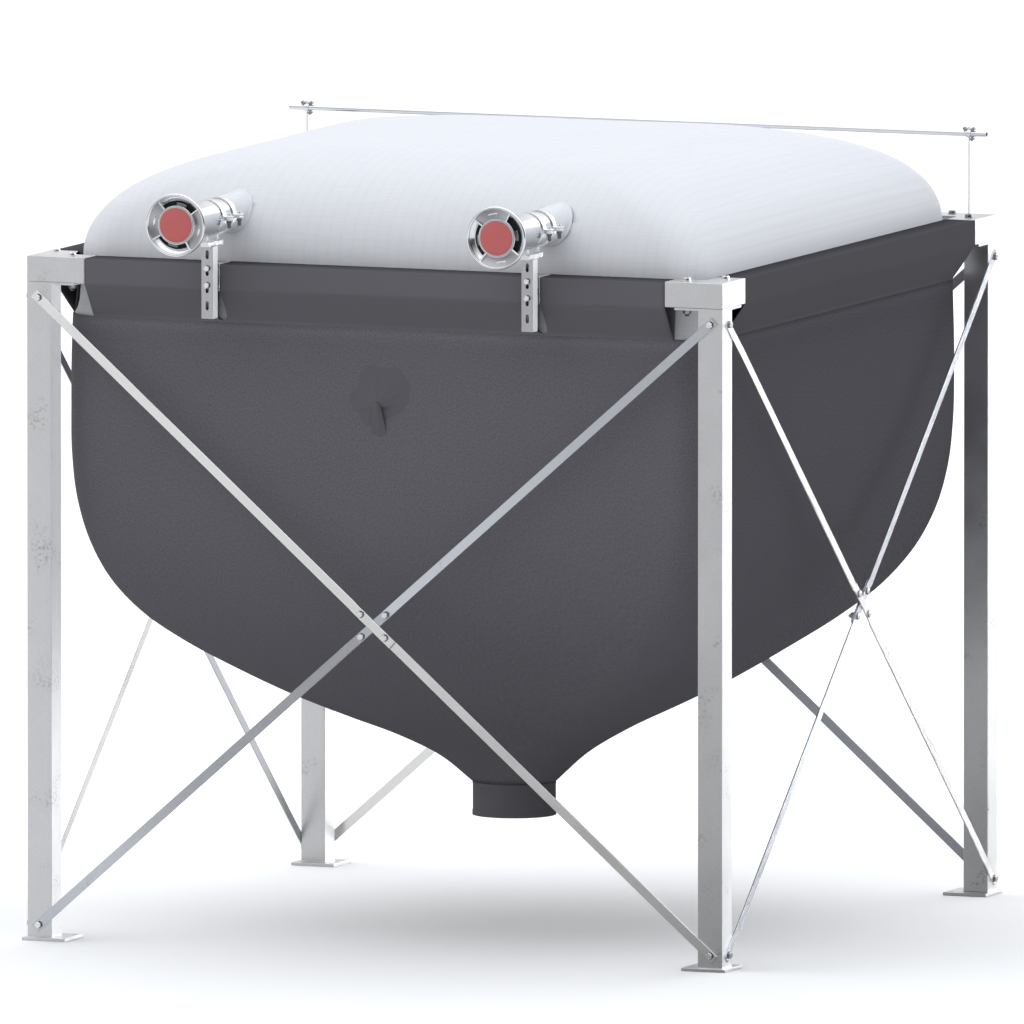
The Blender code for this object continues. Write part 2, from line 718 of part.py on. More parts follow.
def pipe_support(name, x):
    """Slotted strut bolted to a hook plate that grips the front rim tube."""
    half = STRUT_WIDTH / 2
    strut = box_object(name, (x - half, STRUT_FRONT, STRUT_BOTTOM),
                       (x + half, STRUT_BACK, STRUT_TOP), galvanised())
    inner = half - STRUT_WALL
    boolean(strut, box_object(name + ".channel",
                              (x - inner, STRUT_FRONT + STRUT_WALL, STRUT_BOTTOM - 0.01),
                              (x + inner, STRUT_BACK - STRUT_WALL, STRUT_TOP + 0.01)))
    radius = SLOT_WIDTH / 2
    flat = SLOT_LENGTH / 2 - radius
    arc = np.linspace(0, math.pi, 5)
    for height in SLOT_HEIGHTS:
        top = [(x + radius * math.cos(a), STRUT_FRONT - 0.01, height + flat + radius * math.sin(a))
               for a in arc]
        bottom = [(2 * x - px, y, 2 * height - z) for px, y, z in top]
        bm = bmesh.new()
        add_prism(bm, top + bottom, (0, 0.02, 0))
        boolean(strut, add_object(name + ".slot", bm, None))
    hook = HOOK_WIDTH / 2
    face = -RIM_FACE - GAP
    back = -HALF + BRACKET_DEPTH
    under = RIM_TOP + GAP
    over = under + HOOK_THICK
    section = ((face - HOOK_THICK, HOOK_FOOT), (face, HOOK_FOOT), (face, under),
               (back, under), (back, over), (face - HOOK_THICK, over))
    bm = bmesh.new()
    add_prism(bm, [(x - hook, y, z) for y, z in section], (HOOK_WIDTH, 0, 0))
    boolean(strut, add_object(name + ".hook", bm, None), "UNION")
    reach = face - HOOK_THICK - STRUT_BACK
    for height in SLOT_HEIGHTS[1:3]:
        spacer = cylinder_object(name + ".spacer", (x, STRUT_BACK - 0.001, height), SPACER_RADIUS,
                                 "Y", reach + 0.002, SMALL_SIDES)
        boolean(strut, spacer, "UNION")
    return strut


def pipe_clamp(name, x):
    """Plate on the strut with two posts, each carrying a band round the pipe."""
    half = CLAMP_PLATE_WIDTH / 2
    low = STRUT_TOP + GAP
    high = low + CLAMP_PLATE_THICK
    plate = box_object(name, (x - half, CLAMP_PLATE_FRONT, low),
                       (x + half, CLAMP_PLATE_BACK, high), galvanised())
    inner = PIPE_RADIUS + GAP
    near = CLAMP_WIDTH / 2
    thick = EAR_THICK / 2
    for y in CLAMP_BANDS:
        post = cylinder_object(name + ".post", (x, y, high - 0.001), POST_RADIUS, "Z",
                               PIPE_Z - inner - high - 0.0005, SMALL_SIDES)
        boolean(plate, post, "UNION")
        profile = ((CLAMP_RADIUS, -near), (CLAMP_RADIUS, near), (inner, near), (inner, -near))
        band = turned_ring(name + ".band", profile, (x, y, PIPE_Z), ROUND_SIDES, None,
                           math.radians(40))
        boolean(plate, band, "UNION")
        ear = box_object(name + ".ear", (x + CLAMP_RADIUS - 0.002, y - near, PIPE_Z - thick),
                         (x + CLAMP_RADIUS + EAR_LENGTH, y + near, PIPE_Z + thick))
        boolean(plate, ear, "UNION")
    return plate


# Bar across the back

def add_bar_ring(name, radii, ends, look=None):
    """Tube round the bar's line, with an outer and an inner radius."""
    outside, inside = (np.array([ring_points((end, BAR_Y, BAR_Z), radius, "X", 16)
                                 for end in ends]) for radius in radii)
    bm = bmesh.new()
    add_shell(bm, outside, inside, wrap=True)
    return add_object(name, bm, look, math.radians(40))


def top_bar():
    """Round tube across the back, open at its ends."""
    return add_bar_ring("top_bar", (BAR_RADIUS, BAR_RADIUS - BAR_WALL),
                        (-BAR_HALF_LENGTH, BAR_HALF_LENGTH), stainless())


def bar_post(name, x):
    """Slim rod from a bolt on the bracket up to a clip round the bar."""
    foot_level = FRAME_TOP + GAP
    length = BAR_Z - BAR_RADIUS - 0.001 - foot_level
    rod = cylinder_object(name, (x, BAR_Y, foot_level), BAR_POST_RADIUS, "Z", length,
                          SMALL_SIDES, stainless())
    foot = cylinder_object(name + ".foot", (x, BAR_Y, foot_level), POST_FOOT_RADIUS, "Z",
                           POST_FOOT_HEIGHT, SMALL_SIDES)
    boolean(rod, foot, "UNION")
    inner = BAR_RADIUS + GAP
    clip = add_bar_ring(name + ".clip", (inner + CLIP_WALL, inner),
                        (x - CLIP_HALF_LENGTH, x + CLIP_HALF_LENGTH))
    boolean(rod, clip, "UNION")
    knob = cylinder_object(name + ".knob", (x, BAR_Y, BAR_Z + inner + 0.001), KNOB_RADIUS, "Z",
                           KNOB_HEIGHT, SMALL_SIDES)
    boolean(rod, knob, "UNION")
    return rod


# The whole silo

for old in list(bpy.data.objects):
    bpy.data.objects.remove(old, do_unlink=True)

FRAME_CENTRE = bpy.data.objects.new("frame_centre", None)
FRAME_CENTRE.location.y = (FRONT_REACH - BACK_REACH) / 2
bpy.context.scene.collection.objects.link(FRAME_CENTRE)

turned(leg, [f"leg_{corner}" for corner in CORNERS])
turned(corner_bracket, [f"corner_bracket_{corner}" for corner in CORNERS])
turned(rim_tube, [f"rim_tube_{side}" for side in SIDES])
turned(falling_brace, [f"brace_{side}_outer" for side in SIDES])
turned(rising_brace, [f"brace_{side}_inner" for side in SIDES])
turned(hopper_panel, [f"hopper_{side}" for side in SIDES])
turned(hem, [f"hem_{side}" for side in SIDES])
front_hem_slots(bpy.data.objects["hem_front"])
turned(cover_quarter, [f"cover_{corner}" for corner in CORNERS])
cover_holes()
outlet_sleeve()
inspection_sleeve()
top_bar()
for side, sign in (("left", -1), ("right", 1)):
    fill_pipe(f"fill_pipe_{side}", sign * PIPE_X)
    pipe_sleeve(f"pipe_sleeve_{side}", sign * PIPE_X)
    coupling(f"coupling_{side}", sign * PIPE_X)
    fill_cap(f"fill_cap_{side}", sign * PIPE_X)
    pipe_support(f"pipe_support_{side}", sign * PIPE_X)
    pipe_clamp(f"pipe_clamp_{side}", sign * PIPE_X)
    bar_post(f"bar_post_{side}", sign * POST_X)
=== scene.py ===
"""Looks of the square fabric pellet silo: steel frame, dark hopper, white domed cover.

Metres, +Z up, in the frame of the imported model. The front, with the filling pipes,
looks along -Y.
"""

import math

import bmesh
import bpy
import numpy as np
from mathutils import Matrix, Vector


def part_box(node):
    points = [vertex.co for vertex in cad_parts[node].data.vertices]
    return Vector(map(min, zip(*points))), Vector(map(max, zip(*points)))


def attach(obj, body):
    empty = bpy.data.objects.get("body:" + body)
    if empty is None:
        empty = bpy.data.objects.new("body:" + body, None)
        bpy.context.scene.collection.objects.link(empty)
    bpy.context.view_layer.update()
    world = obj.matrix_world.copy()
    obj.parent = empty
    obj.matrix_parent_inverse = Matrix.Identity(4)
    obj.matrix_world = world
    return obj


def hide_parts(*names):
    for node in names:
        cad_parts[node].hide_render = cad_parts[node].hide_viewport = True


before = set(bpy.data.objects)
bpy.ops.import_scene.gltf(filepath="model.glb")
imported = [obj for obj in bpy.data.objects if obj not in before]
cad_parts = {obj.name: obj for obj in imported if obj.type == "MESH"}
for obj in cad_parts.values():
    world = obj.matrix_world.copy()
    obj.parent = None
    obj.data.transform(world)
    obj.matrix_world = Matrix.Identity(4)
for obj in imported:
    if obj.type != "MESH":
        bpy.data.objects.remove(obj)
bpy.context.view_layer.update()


# Studio: a camera far away, so that the view is almost parallel, a wide pale floor, soft
# light that is brightest behind the silo's right side, and two broad lamps, one for the
# bare steel and one for the cover.

VIEW_AZIMUTH = math.radians(22.02)
VIEW_ELEVATION = math.radians(6.1)
VIEW_WIDTH = 2.748
VIEW_CENTRE = (-0.0059, 0.1266, 1.092)
LENS = 1650.0
SENSOR = 36.0
FLOOR_RADIUS = 40.0
# How bright the floor is to the camera, to cloth and in the steel, and the painted shade of its
# mirrored strip
FLOOR_PALE = 1.0
FLOOR_BOUNCE = 0.61
FLOOR_GLOSS = 0.82
FLOOR_MIRROR_PAINTED_SHADE = 0.62
# Painted light of the floor's own that the camera sees, from before the silo to behind it, which
# lifts the shade on the floor behind the silo
FLOOR_PAINTED_LIGHT = (0.02, 0.13)
FLOOR_PAINTED_LIGHT_DEPTHS = (-0.2, 1.1)
# Soft lights and shades of the room: the way to each, where it starts and is full, and
# how much it adds to the level all round
GLOW_TOWARDS = (0.42, 0.90, 0.08)
ROOM_TOP = ((0.12, 0.10, 1.0), 0.15, 0.95)
STEEL_ROOM = (0.71, ((GLOW_TOWARDS, 0.87, 0.98, 1.8), (*ROOM_TOP, 1.01),
                     ((-0.30, -0.94, 0.12), 0.45, 0.95, -0.20),
                     ((0.85, -0.50, 0.10), 0.55, 0.92, -0.66)))
CLOTH_ROOM = (0.80, (((-0.14, 0.17, 1.0), 0.08, 0.93, 0.90),
                     ((0.95, -0.07, 0.10), 0.18, 0.80, -0.84)))
ROOM_TINT = (0.925, 0.955, 1.0, 1.0)
WHITE = (1.0, 1.0, 1.0, 1.0)
LAMP_COLOUR = (0.95, 0.97, 1.0)
STEEL_LIGHT = 0.40
COVER_LIGHT = 2.0
COVER_LIGHT_TOWARDS = (0.95, 0.10, 0.16)
# Foot of the front right leg, and the ways along and across the floor that it mirrors
MIRROR_FOOT = (0.93, -0.80, 0.0)
MIRROR_AHEAD = (-0.375, -0.927, 0.0)
MIRROR_ACROSS = (0.927, -0.375, 0.0)
# Half width of the strip, full and at its soft edge, and how it fades to its far end
MIRROR_WIDTH = (0.5, 1.4)
MIRROR_FADE = (0.0, 22.0, 1.0, 0.30)


def unit(vector):
    """The vector, or each row of vectors, divided by its own length."""
    vector = np.asarray(vector, float)
    return vector / np.linalg.norm(vector, axis=-1, keepdims=True)


def node(tree, kind, inputs, **settings):
    """A shader node of a kind; an input is a value or another node's output socket."""
    made = tree.nodes.new("ShaderNode" + kind)
    for name, value in settings.items():
        setattr(made, name, value)
    for name, value in inputs.items():
        if isinstance(value, bpy.types.NodeSocket):
            tree.links.new(value, made.inputs[name])
        else:
            made.inputs[name].default_value = value
    return made


def maths(tree, operation, *values):
    """Output of a Math node whose inputs are the values in turn."""
    return node(tree, "Math", dict(enumerate(values)), operation=operation).outputs[0]


def scaled(tree, value, factor, offset=0.0):
    """A value times a factor, plus an offset."""
    return maths(tree, "MULTIPLY_ADD", value, factor, offset)


def part_along(tree, vector, direction):
    """How far a vector reaches along a direction."""
    return node(tree, "VectorMath", {0: vector, 1: direction},
                operation="DOT_PRODUCT").outputs["Value"]


def spread(tree, value, start, end, low=0.0, high=1.0, easing="LINEAR"):
    """The value carried from one range to another and held at its ends."""
    return node(tree, "MapRange",
                {"Value": value, "From Min": start, "From Max": end, "To Min": low,
                 "To Max": high}, interpolation_type=easing).outputs["Result"]


def new_look(name, roughness, metallic, specular=0.5):
    """New material and its Principled shader, with its plain values set."""
    look = bpy.data.materials.new(name)
    look.use_nodes = True
    shader = look.node_tree.nodes["Principled BSDF"]
    shader.inputs["Roughness"].default_value = roughness
    shader.inputs["Metallic"].default_value = metallic
    shader.inputs["Specular IOR Level"].default_value = specular
    return look, shader


def linked(name, data):
    """New object for the data, in the scene."""
    made = bpy.data.objects.new(name, data)
    bpy.context.scene.collection.objects.link(made)
    return made


def faced_from(piece, towards):
    """Turn a camera or lamp so that it looks back from a direction."""
    piece.rotation_mode = "QUATERNION"
    piece.rotation_quaternion = (-Vector(towards)).to_track_quat("-Z", "Y")


def studio_camera():
    """Long lens at the view's turn and rise, so far back that it shows the view's width."""
    back = Vector((math.sin(VIEW_AZIMUTH) * math.cos(VIEW_ELEVATION),
                   -math.cos(VIEW_AZIMUTH) * math.cos(VIEW_ELEVATION),
                   math.sin(VIEW_ELEVATION)))
    camera = linked("studio_camera", bpy.data.cameras.new("studio_camera"))
    camera.data.lens = LENS
    camera.data.sensor_width = SENSOR
    camera.data.clip_start = 1.0
    camera.data.clip_end = 1000.0
    camera.location = Vector(VIEW_CENTRE) + back * (VIEW_WIDTH * LENS / SENSOR)
    faced_from(camera, back)
    bpy.context.scene.camera = camera


def light_share(tree, direction, towards, start, end):
    """Share from 0 to 1 that rises as a direction turns towards a given one."""
    return spread(tree, part_along(tree, direction, unit(towards)), start, end,
                  easing="SMOOTHSTEP")


def room_level(tree, direction, room):
    """Strength of the light by direction: a level with soft lights and shades added."""
    level, parts = room
    for *reach, change in parts:
        level = scaled(tree, light_share(tree, direction, *reach), change, level)
    return level


def studio_world():
    """White behind the silo for the camera, and a soft room of light for everything else.

    Cloth and floor are lit by a plainer room than the one that the steel mirrors: it is
    dark on the right.
    """
    world = bpy.data.worlds.new("studio_light")
    world.use_nodes = True
    tree = world.node_tree
    tree.nodes.clear()
    direction = node(tree, "TexCoord", {}).outputs["Generated"]
    path = node(tree, "LightPath", {}).outputs
    soft = maths(tree, "MAXIMUM", room_level(tree, direction, CLOTH_ROOM), 0.0)
    level = node(tree, "Mix", {0: path["Is Diffuse Ray"], 3: soft,
                               2: room_level(tree, direction, STEEL_ROOM)})
    tint = node(tree, "Mix", {0: light_share(tree, direction, *ROOM_TOP), 6: WHITE,
                              7: ROOM_TINT}, data_type="RGBA")
    room = node(tree, "Background",
                {"Color": tint.outputs[2], "Strength": level.outputs[0]})
    seen = node(tree, "Background", {"Color": WHITE, "Strength": 1.0})
    mix = node(tree, "MixShader", {0: path["Is Camera Ray"], 1: room.outputs[0],
                                   2: seen.outputs[0]})
    node(tree, "OutputWorld", {"Surface": mix.outputs[0]})
    world.cycles.sampling_method = "NONE"
    bpy.context.scene.world = world
    bpy.context.scene.view_settings.view_transform = "Standard"


def studio_lamp(name, energy, towards, angle, receivers):
    """Broad light from one direction for some of the pieces."""
    lamp = linked(name, bpy.data.lights.new(name, "SUN"))
    lamp.data.energy = energy
    lamp.data.color = LAMP_COLOUR
    lamp.data.angle = math.radians(angle)
    lamp.data.cycles.use_multiple_importance_sampling = False
    faced_from(lamp, towards)
    lamp.light_linking.receiver_collection = receivers
    return lamp


def lit(piece, shades=True):
    """Put a piece under the steel's own light, and let it shade other steel."""
    LIT_STEEL.objects.link(piece)
    if shades:
        STEEL_SHADES.objects.link(piece)


def mirrored_painted_shade_strip(tree, place):
    """Painted shade in the floor's reflection: a darker strip that the front right leg mirrors,
    fading with distance.
    """
    from_leg = node(tree, "VectorMath", {0: place, 1: MIRROR_FOOT},
                    operation="SUBTRACT").outputs[0]
    across = maths(tree, "ABSOLUTE", part_along(tree, from_leg, MIRROR_ACROSS))
    ahead = part_along(tree, from_leg, MIRROR_AHEAD)
    return scaled(tree, spread(tree, across, *MIRROR_WIDTH, 1.0, 0.0),
                  spread(tree, ahead, *MIRROR_FADE))


def studio_floor():
    """Pale floor, lighter behind the silo by painted light, and duller in the light it returns."""
    look, shader = new_look("studio_floor", 0.8, 0.0, 0.0)
    tree = look.node_tree
    place = node(tree, "TexCoord", {}).outputs["Object"]
    path = node(tree, "LightPath", {}).outputs
    gloss = scaled(tree, mirrored_painted_shade_strip(tree, place), -FLOOR_MIRROR_PAINTED_SHADE * FLOOR_GLOSS,
                   FLOOR_GLOSS - FLOOR_BOUNCE)
    level = scaled(tree, path["Is Glossy Ray"], gloss, FLOOR_BOUNCE)
    level = scaled(tree, path["Is Camera Ray"], FLOOR_PALE - FLOOR_BOUNCE, level)
    tree.links.new(level, shader.inputs["Base Color"])
    depth = node(tree, "SeparateXYZ", {0: place}).outputs[1]
    lift = scaled(tree, spread(tree, depth, *FLOOR_PAINTED_LIGHT_DEPTHS, *FLOOR_PAINTED_LIGHT), path["Is Camera Ray"])
    tree.links.new(lift, shader.inputs["Emission Strength"])
    bpy.ops.mesh.primitive_circle_add(vertices=96, radius=FLOOR_RADIUS, fill_type="NGON")
    floor = bpy.context.active_object
    floor.name = "studio_floor"
    floor.data.materials.append(look)


studio_camera()
studio_world()
LIT_STEEL = bpy.data.collections.new("lit_steel")
STEEL_SHADES = bpy.data.collections.new("steel_shades")
LIT_COVER = bpy.data.collections.new("lit_cover")
steel_lamp = studio_lamp("steel_light", STEEL_LIGHT, GLOW_TOWARDS, 50, LIT_STEEL)
steel_lamp.light_linking.blocker_collection = STEEL_SHADES
studio_lamp("cover_light", COVER_LIGHT, COVER_LIGHT_TOWARDS, 80, LIT_COVER)
studio_floor()


# Legs: square steel tubes, 70 mm across, with welded foot and head plates, hot-dip
# galvanised. The zinc is dull, finely grained and marked with a few darker rubs.

LEG_EDGE = 0.0016
FUSE = 0.00002
CORNERS = ("front_left", "front_right", "back_right", "back_left")
SIDES = ("front", "right", "back", "left")


def effect_group(name, inputs, outputs):
    """Empty shader node group with float or vector inputs, and its two ends' sockets."""
    tree = bpy.data.node_groups.new(name, "ShaderNodeTree")
    for label, value in inputs.items():
        kind = "NodeSocketVector" if value is None else "NodeSocketFloat"
        socket = tree.interface.new_socket(label, in_out="INPUT", socket_type=kind)
        if value is not None:
            socket.default_value = value
    for label in outputs:
        tree.interface.new_socket(label, in_out="OUTPUT", socket_type="NodeSocketFloat")
    return (tree, tree.nodes.new("NodeGroupInput").outputs,
            tree.nodes.new("NodeGroupOutput").inputs)


def put_out(tree, put, *sockets):
    """Link the sockets to a group's outputs in turn."""
    for socket, end in zip(sockets, put):
        tree.links.new(socket, end)
    return tree


def noise(tree, place, scale, detail, roughness=0.5, stretch=None):
    """Noise from 0 to 1 at a place, which may be stretched first."""
    if stretch:
        place = node(tree, "VectorMath", {0: place, 1: stretch},
                     operation="MULTIPLY").outputs[0]
    return node(tree, "TexNoise", {"Vector": place, "Scale": scale, "Detail": detail,
                                   "Roughness": roughness}).outputs["Fac"]


def zinc_effect():
    """Mottled zinc: a brightness factor, a roughness share and a height.

    The dark rubs are speckles inside a few soft patches.
    """
    tree, given, put = effect_group(
        "zinc_mottle", {"Vector": None, "Rubs": 0.3, "Grain": 0.1},
        ("Tone", "Dullness", "Height"))
    place = given["Vector"]
    clouds = noise(tree, place, scale=7.0, detail=3.0)
    grain = noise(tree, place, scale=260.0, detail=2.0)
    patch = spread(tree, noise(tree, place, scale=10.0, detail=2.0), 0.58, 0.70)
    speck = spread(tree, noise(tree, place, 115.0, 5.0, roughness=0.70), 0.50, 0.64)
    rubs = scaled(tree, patch, speck)
    cloudy = scaled(tree, clouds, 0.22, 0.89)
    grainy = scaled(tree, maths(tree, "SUBTRACT", grain, 0.5), given["Grain"], cloudy)
    tone = maths(tree, "SUBTRACT", grainy, scaled(tree, rubs, given["Rubs"]))
    dull = scaled(tree, rubs, 0.5, clouds)
    return put_out(tree, put, tone, dull, grain)


ZINC = zinc_effect()


def place_effect(look, effect, source, **values):
    """Outputs of the group in a material, fed with Object coordinates or UV metres."""
    tree = look.node_tree
    where = node(tree, "TexCoord", {}).outputs[source]
    return node(tree, "Group", {"Vector": where, **values}, node_tree=effect).outputs


def surfaced(look, colour, tone, dull, rough, height, relief):
    """Colour times a tone, roughness over a range and a bump, from values on the surface."""
    tree = look.node_tree
    shader = tree.nodes["Principled BSDF"]
    toned = node(tree, "VectorMath", {0: colour, "Scale": tone}, operation="SCALE")
    bump = node(tree, "Bump", {"Height": height, "Strength": relief[0], "Distance": relief[1]})
    tree.links.new(toned.outputs[0], shader.inputs["Base Color"])
    tree.links.new(spread(tree, dull, 0.0, 1.0, *rough), shader.inputs["Roughness"])
    tree.links.new(bump.outputs["Normal"], shader.inputs["Normal"])
    return look


def galvanised(name, colour, rubs=0.36, rough=(0.22, 0.46)):
    """Zinc of a colour, with the strength of its rubs and the range of its roughness."""
    look, _ = new_look(name, 0.45, 1.0)
    zinc = place_effect(look, ZINC, "Object", Rubs=rubs, Grain=0.16)
    return surfaced(look, colour, zinc["Tone"], zinc["Dullness"], rough, zinc["Height"],
                    (0.10, 0.0004))


ZINC_GREY = galvanised("galvanised_steel", (0.70, 0.70, 0.705))


def fitted(piece, slot, *nodes):
    """The piece rides with the silo and stands for nodes, which it hides; the slot is not used."""
    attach(piece, "root")
    if nodes:
        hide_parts(*nodes)
    return piece


def mesh_piece(name, mesh, look, smooth_angle):
    """Object of a mesh in a finish, shaded smooth up to an angle between faces."""
    mesh.shade_smooth()
    mesh.set_sharp_from_angle(angle=math.radians(smooth_angle))
    mesh.materials.append(look)
    return linked(name, mesh)


def modified(piece, name, kind, **settings):
    """Give a piece a modifier with its settings."""
    step = piece.modifiers.new(name, kind)
    for setting, value in settings.items():
        setattr(step, setting, value)


def softened(cad_node, name, look, edge, slot="galvanised_steel"):
    """Copy of a node's solid with its corners merged and its edges slightly rounded."""
    work = bmesh.new()
    work.from_mesh(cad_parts[cad_node].data)
    bmesh.ops.remove_doubles(work, verts=work.verts, dist=FUSE)
    bmesh.ops.dissolve_limit(work, angle_limit=math.radians(1.0), verts=work.verts,
                             edges=work.edges)
    mesh = bpy.data.meshes.new(name)
    work.to_mesh(mesh)
    work.free()
    for attribute in list(mesh.attributes):
        if attribute.name.startswith(("custom_normal", "UVMap")):
            mesh.attributes.remove(attribute)
    piece = mesh_piece(name, mesh, look, 30)
    modified(piece, "edge", "BEVEL", width=edge, segments=2, limit_method="ANGLE",
             angle_limit=math.radians(40), harden_normals=True)
    return fitted(piece, slot, cad_node)


for corner in CORNERS:
    lit(softened(f"leg_{corner}", f"leg_tube_{corner}", ZINC_GREY, LEG_EDGE))


# Rim tubes: square steel tubes, 64 mm across, that run round the top inside the fabric
# hems and end in mitres under the corner brackets.

RIM_EDGE = 0.0016

for side in SIDES:
    softened(f"rim_tube_{side}", f"rim_bar_{side}", ZINC_GREY, RIM_EDGE)


# Corner brackets: folded sheet caps over the tube ends, bolted down through the head
# plates of the legs with two hexagon bolts each, one along each arm.

BRACKET_EDGE = 0.0012
BOLT_ALONG = 0.116
BOLT_INSET = 0.0375
BOLT_FLATS = 0.019
HEAD_HEIGHT = 0.0095
WASHER_RADIUS = 0.012
WASHER_THICK = 0.0018
THREAD_RADIUS = 0.006
NUT_HEIGHT = 0.010
THREAD_STUB = 0.007
HEX_SIDES = 24
CENTRE_Y = (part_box("leg_front_left")[0].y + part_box("leg_back_left")[1].y) / 2
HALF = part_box("corner_bracket_front_right")[1].x
FRAME_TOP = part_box("corner_bracket_front_left")[1].z
LEG_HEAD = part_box("leg_front_left")[1].z
HEAD_PLATE = 0.007


def ring_faces(rows, count, closed=False):
    """Faces between rings of points in order, with flat ends unless the rings close."""
    i, j = np.meshgrid(np.arange(rows if closed else rows - 1), np.arange(count),
                       indexing="ij")
    i, j = i.ravel(), j.ravel()
    k, below = (j + 1) % count, (i + 1) % rows
    quads = np.stack([i * count + j, i * count + k, below * count + k, below * count + j], 1)
    ends = [range(count - 1, -1, -1), range((rows - 1) * count, rows * count)]
    return [tuple(face) for face in quads.tolist() + (ends if not closed else [])]


def turned_form(profile, segments=HEX_SIDES, closed=False):
    """Points and faces of a profile turned round local Z.

    The profile's rows are (radius, height, hexness). At hexness 0 a row is a circle, at
    1 it is a hexagon of that half width across its flats. Closed joins the last row to
    the first, otherwise both ends get a flat face.
    """
    rows = np.array([tuple(row) + (0.0,) * (3 - len(row)) for row in profile], float)
    angle = np.arange(segments) * 2 * math.pi / segments
    sixth = math.pi / 3
    flat = 1 / np.cos((angle + sixth / 2) % sixth - sixth / 2)
    radius = rows[:, :1] * (1 + rows[:, 2:3] * (flat - 1))
    points = np.stack([radius * np.cos(angle), radius * np.sin(angle),
                       np.repeat(rows[:, 1:2], segments, 1)], -1)
    return points.reshape(-1, 3), ring_faces(len(rows), segments, closed)


def placed(form, origin, along, up=None):
    """The form with its local Z along a direction and its local Y near up."""
    points, faces = form
    z = unit(along)
    if up is None:
        up = (0.0, 1.0, 0.0) if abs(z[2]) > 0.9 else (0.0, 0.0, 1.0)
    x = unit(np.cross(up, z))
    return points @ np.stack([x, np.cross(z, x), z]) + np.asarray(origin, float), faces


def joined(forms):
    """Several forms as one set of points and faces."""
    points, faces, start = [], [], 0
    for form_points, form_faces in forms:
        points.append(form_points)
        faces += [tuple(index + start for index in face) for face in form_faces]
        start += len(form_points)
    return np.concatenate(points), faces


def form_piece(name, form, look, smooth_angle=35):
    """Object of a form, which is an array of points and a list of faces."""
    mesh = bpy.data.meshes.new(name)
    mesh.from_pydata(form[0].tolist(), [], form[1])
    mesh.validate()
    return mesh_piece(name, mesh, look, smooth_angle)


def small_parts(name, forms, look, slot="galvanised_steel", smooth_angle=35):
    """Several small forms as one piece that rides with the silo."""
    return fitted(form_piece(name, joined(forms), look, smooth_angle), slot)


def washer(radius=WASHER_RADIUS, thick=WASHER_THICK):
    """Flat disc under a head, eased round its upper edge."""
    return turned_form([(radius, 0.0), (radius, thick * 0.7), (radius - thick * 0.3, thick)])


def hex_head(flats=BOLT_FLATS, height=HEAD_HEIGHT, base=0.0):
    """Hexagon head with the turned chamfer on its outer face."""
    half = flats / 2
    return turned_form([(half, base, 1), (half, base + height * 0.78, 1),
                        (half * 0.93, base + height, 0.15)])


def bolt_head(place, outward, flats=BOLT_FLATS, height=HEAD_HEIGHT, thick=WASHER_THICK):
    """Washer and hexagon head that stand on a face; the height is that of both."""
    return [placed(form, place, outward)
            for form in (washer(WASHER_RADIUS * flats / BOLT_FLATS, thick),
                         hex_head(flats, height - thick, thick))]


def capped_head(place, outward, flats, height):
    """Outer end of a bolt head, for painted highlight, and its sides with a thin washer, for painted
    shade.
    """
    half = flats / 2
    cap = turned_form([(half, height * 0.72, 1), (half, height * 0.82, 1),
                       (half * 0.90, height, 0.15)])
    side = turned_form([(half, height * 0.1, 1), (half, height * 0.72, 1)])
    rim = turned_form([(half * 1.22, 0.0), (half * 1.22, height * 0.14)])
    return placed(cap, place, outward), [placed(form, place, outward) for form in (side, rim)]


def bolt_tail(place, outward, flats=BOLT_FLATS):
    """Washer, nut and the threaded end that sticks out of it."""
    share = flats / BOLT_FLATS
    top = WASHER_THICK + NUT_HEIGHT * share
    radius = THREAD_RADIUS * share
    ridges = [(radius * (1.0 - 0.10 * (row % 2)), top - 0.001 + row * THREAD_STUB / 7)
              for row in range(8)]
    return [placed(form, place, outward)
            for form in (washer(WASHER_RADIUS * share),
                         hex_head(flats, NUT_HEIGHT * share, WASHER_THICK), turned_form(ridges))]


def turned_direction(vector, turn):
    """A direction, or a grid of points, turned with the silo's sides."""
    x, y, z = np.moveaxis(np.asarray(vector, float), -1, 0)
    for _ in range(turn):
        x, y = -y, x
    return np.stack([x, y, z], -1)


def quarter_turned(point, turn):
    """The same, given from the frame's centre."""
    return turned_direction(point, turn) + (0.0, CENTRE_Y, 0.0)


# Painted light and painted shade: the same zinc made lighter for bolt ends and front heads, darker
# for nuts, head sides and back heads
BRIGHT_ZINC_PAINTED_LIGHT = galvanised("bright_zinc_painted_light", (0.90, 0.90, 0.91), 0.10, (0.16, 0.34))
PAINTED_SHADE_ZINC = galvanised("painted_shade_zinc", (0.30, 0.30, 0.31), 0.10, (0.16, 0.34))
NUT_LEVEL = LEG_HEAD - HEAD_PLATE
bracket_bolts, bracket_nuts = [], []
for turn, corner in enumerate(CORNERS):
    lit(softened(f"corner_bracket_{corner}", f"bracket_cap_{corner}", ZINC_GREY, BRACKET_EDGE))
    for x, y in ((-HALF + BOLT_ALONG, -HALF + BOLT_INSET), (-HALF + BOLT_INSET, -HALF + BOLT_ALONG)):
        # Front heads take the zinc with painted light, back heads the zinc with painted shade
        heads = bracket_bolts if corner.startswith("front") else bracket_nuts
        heads.extend(bolt_head(quarter_turned((x, y, FRAME_TOP), turn), (0, 0, 1)))
        bracket_nuts += bolt_tail(quarter_turned((x, y, NUT_LEVEL), turn), (0, 0, -1))
lit(small_parts("bracket_bolts", bracket_bolts, BRIGHT_ZINC_PAINTED_LIGHT), shades=False)
small_parts("bracket_nuts", bracket_nuts, PAINTED_SHADE_ZINC)


# Braces: flat bars of 25 by 4 mm, two crossing on each side and bolted to the legs. Near
# the crossing each bar is joined by a short flat behind it, and the outer bar steps over
# the inner one.

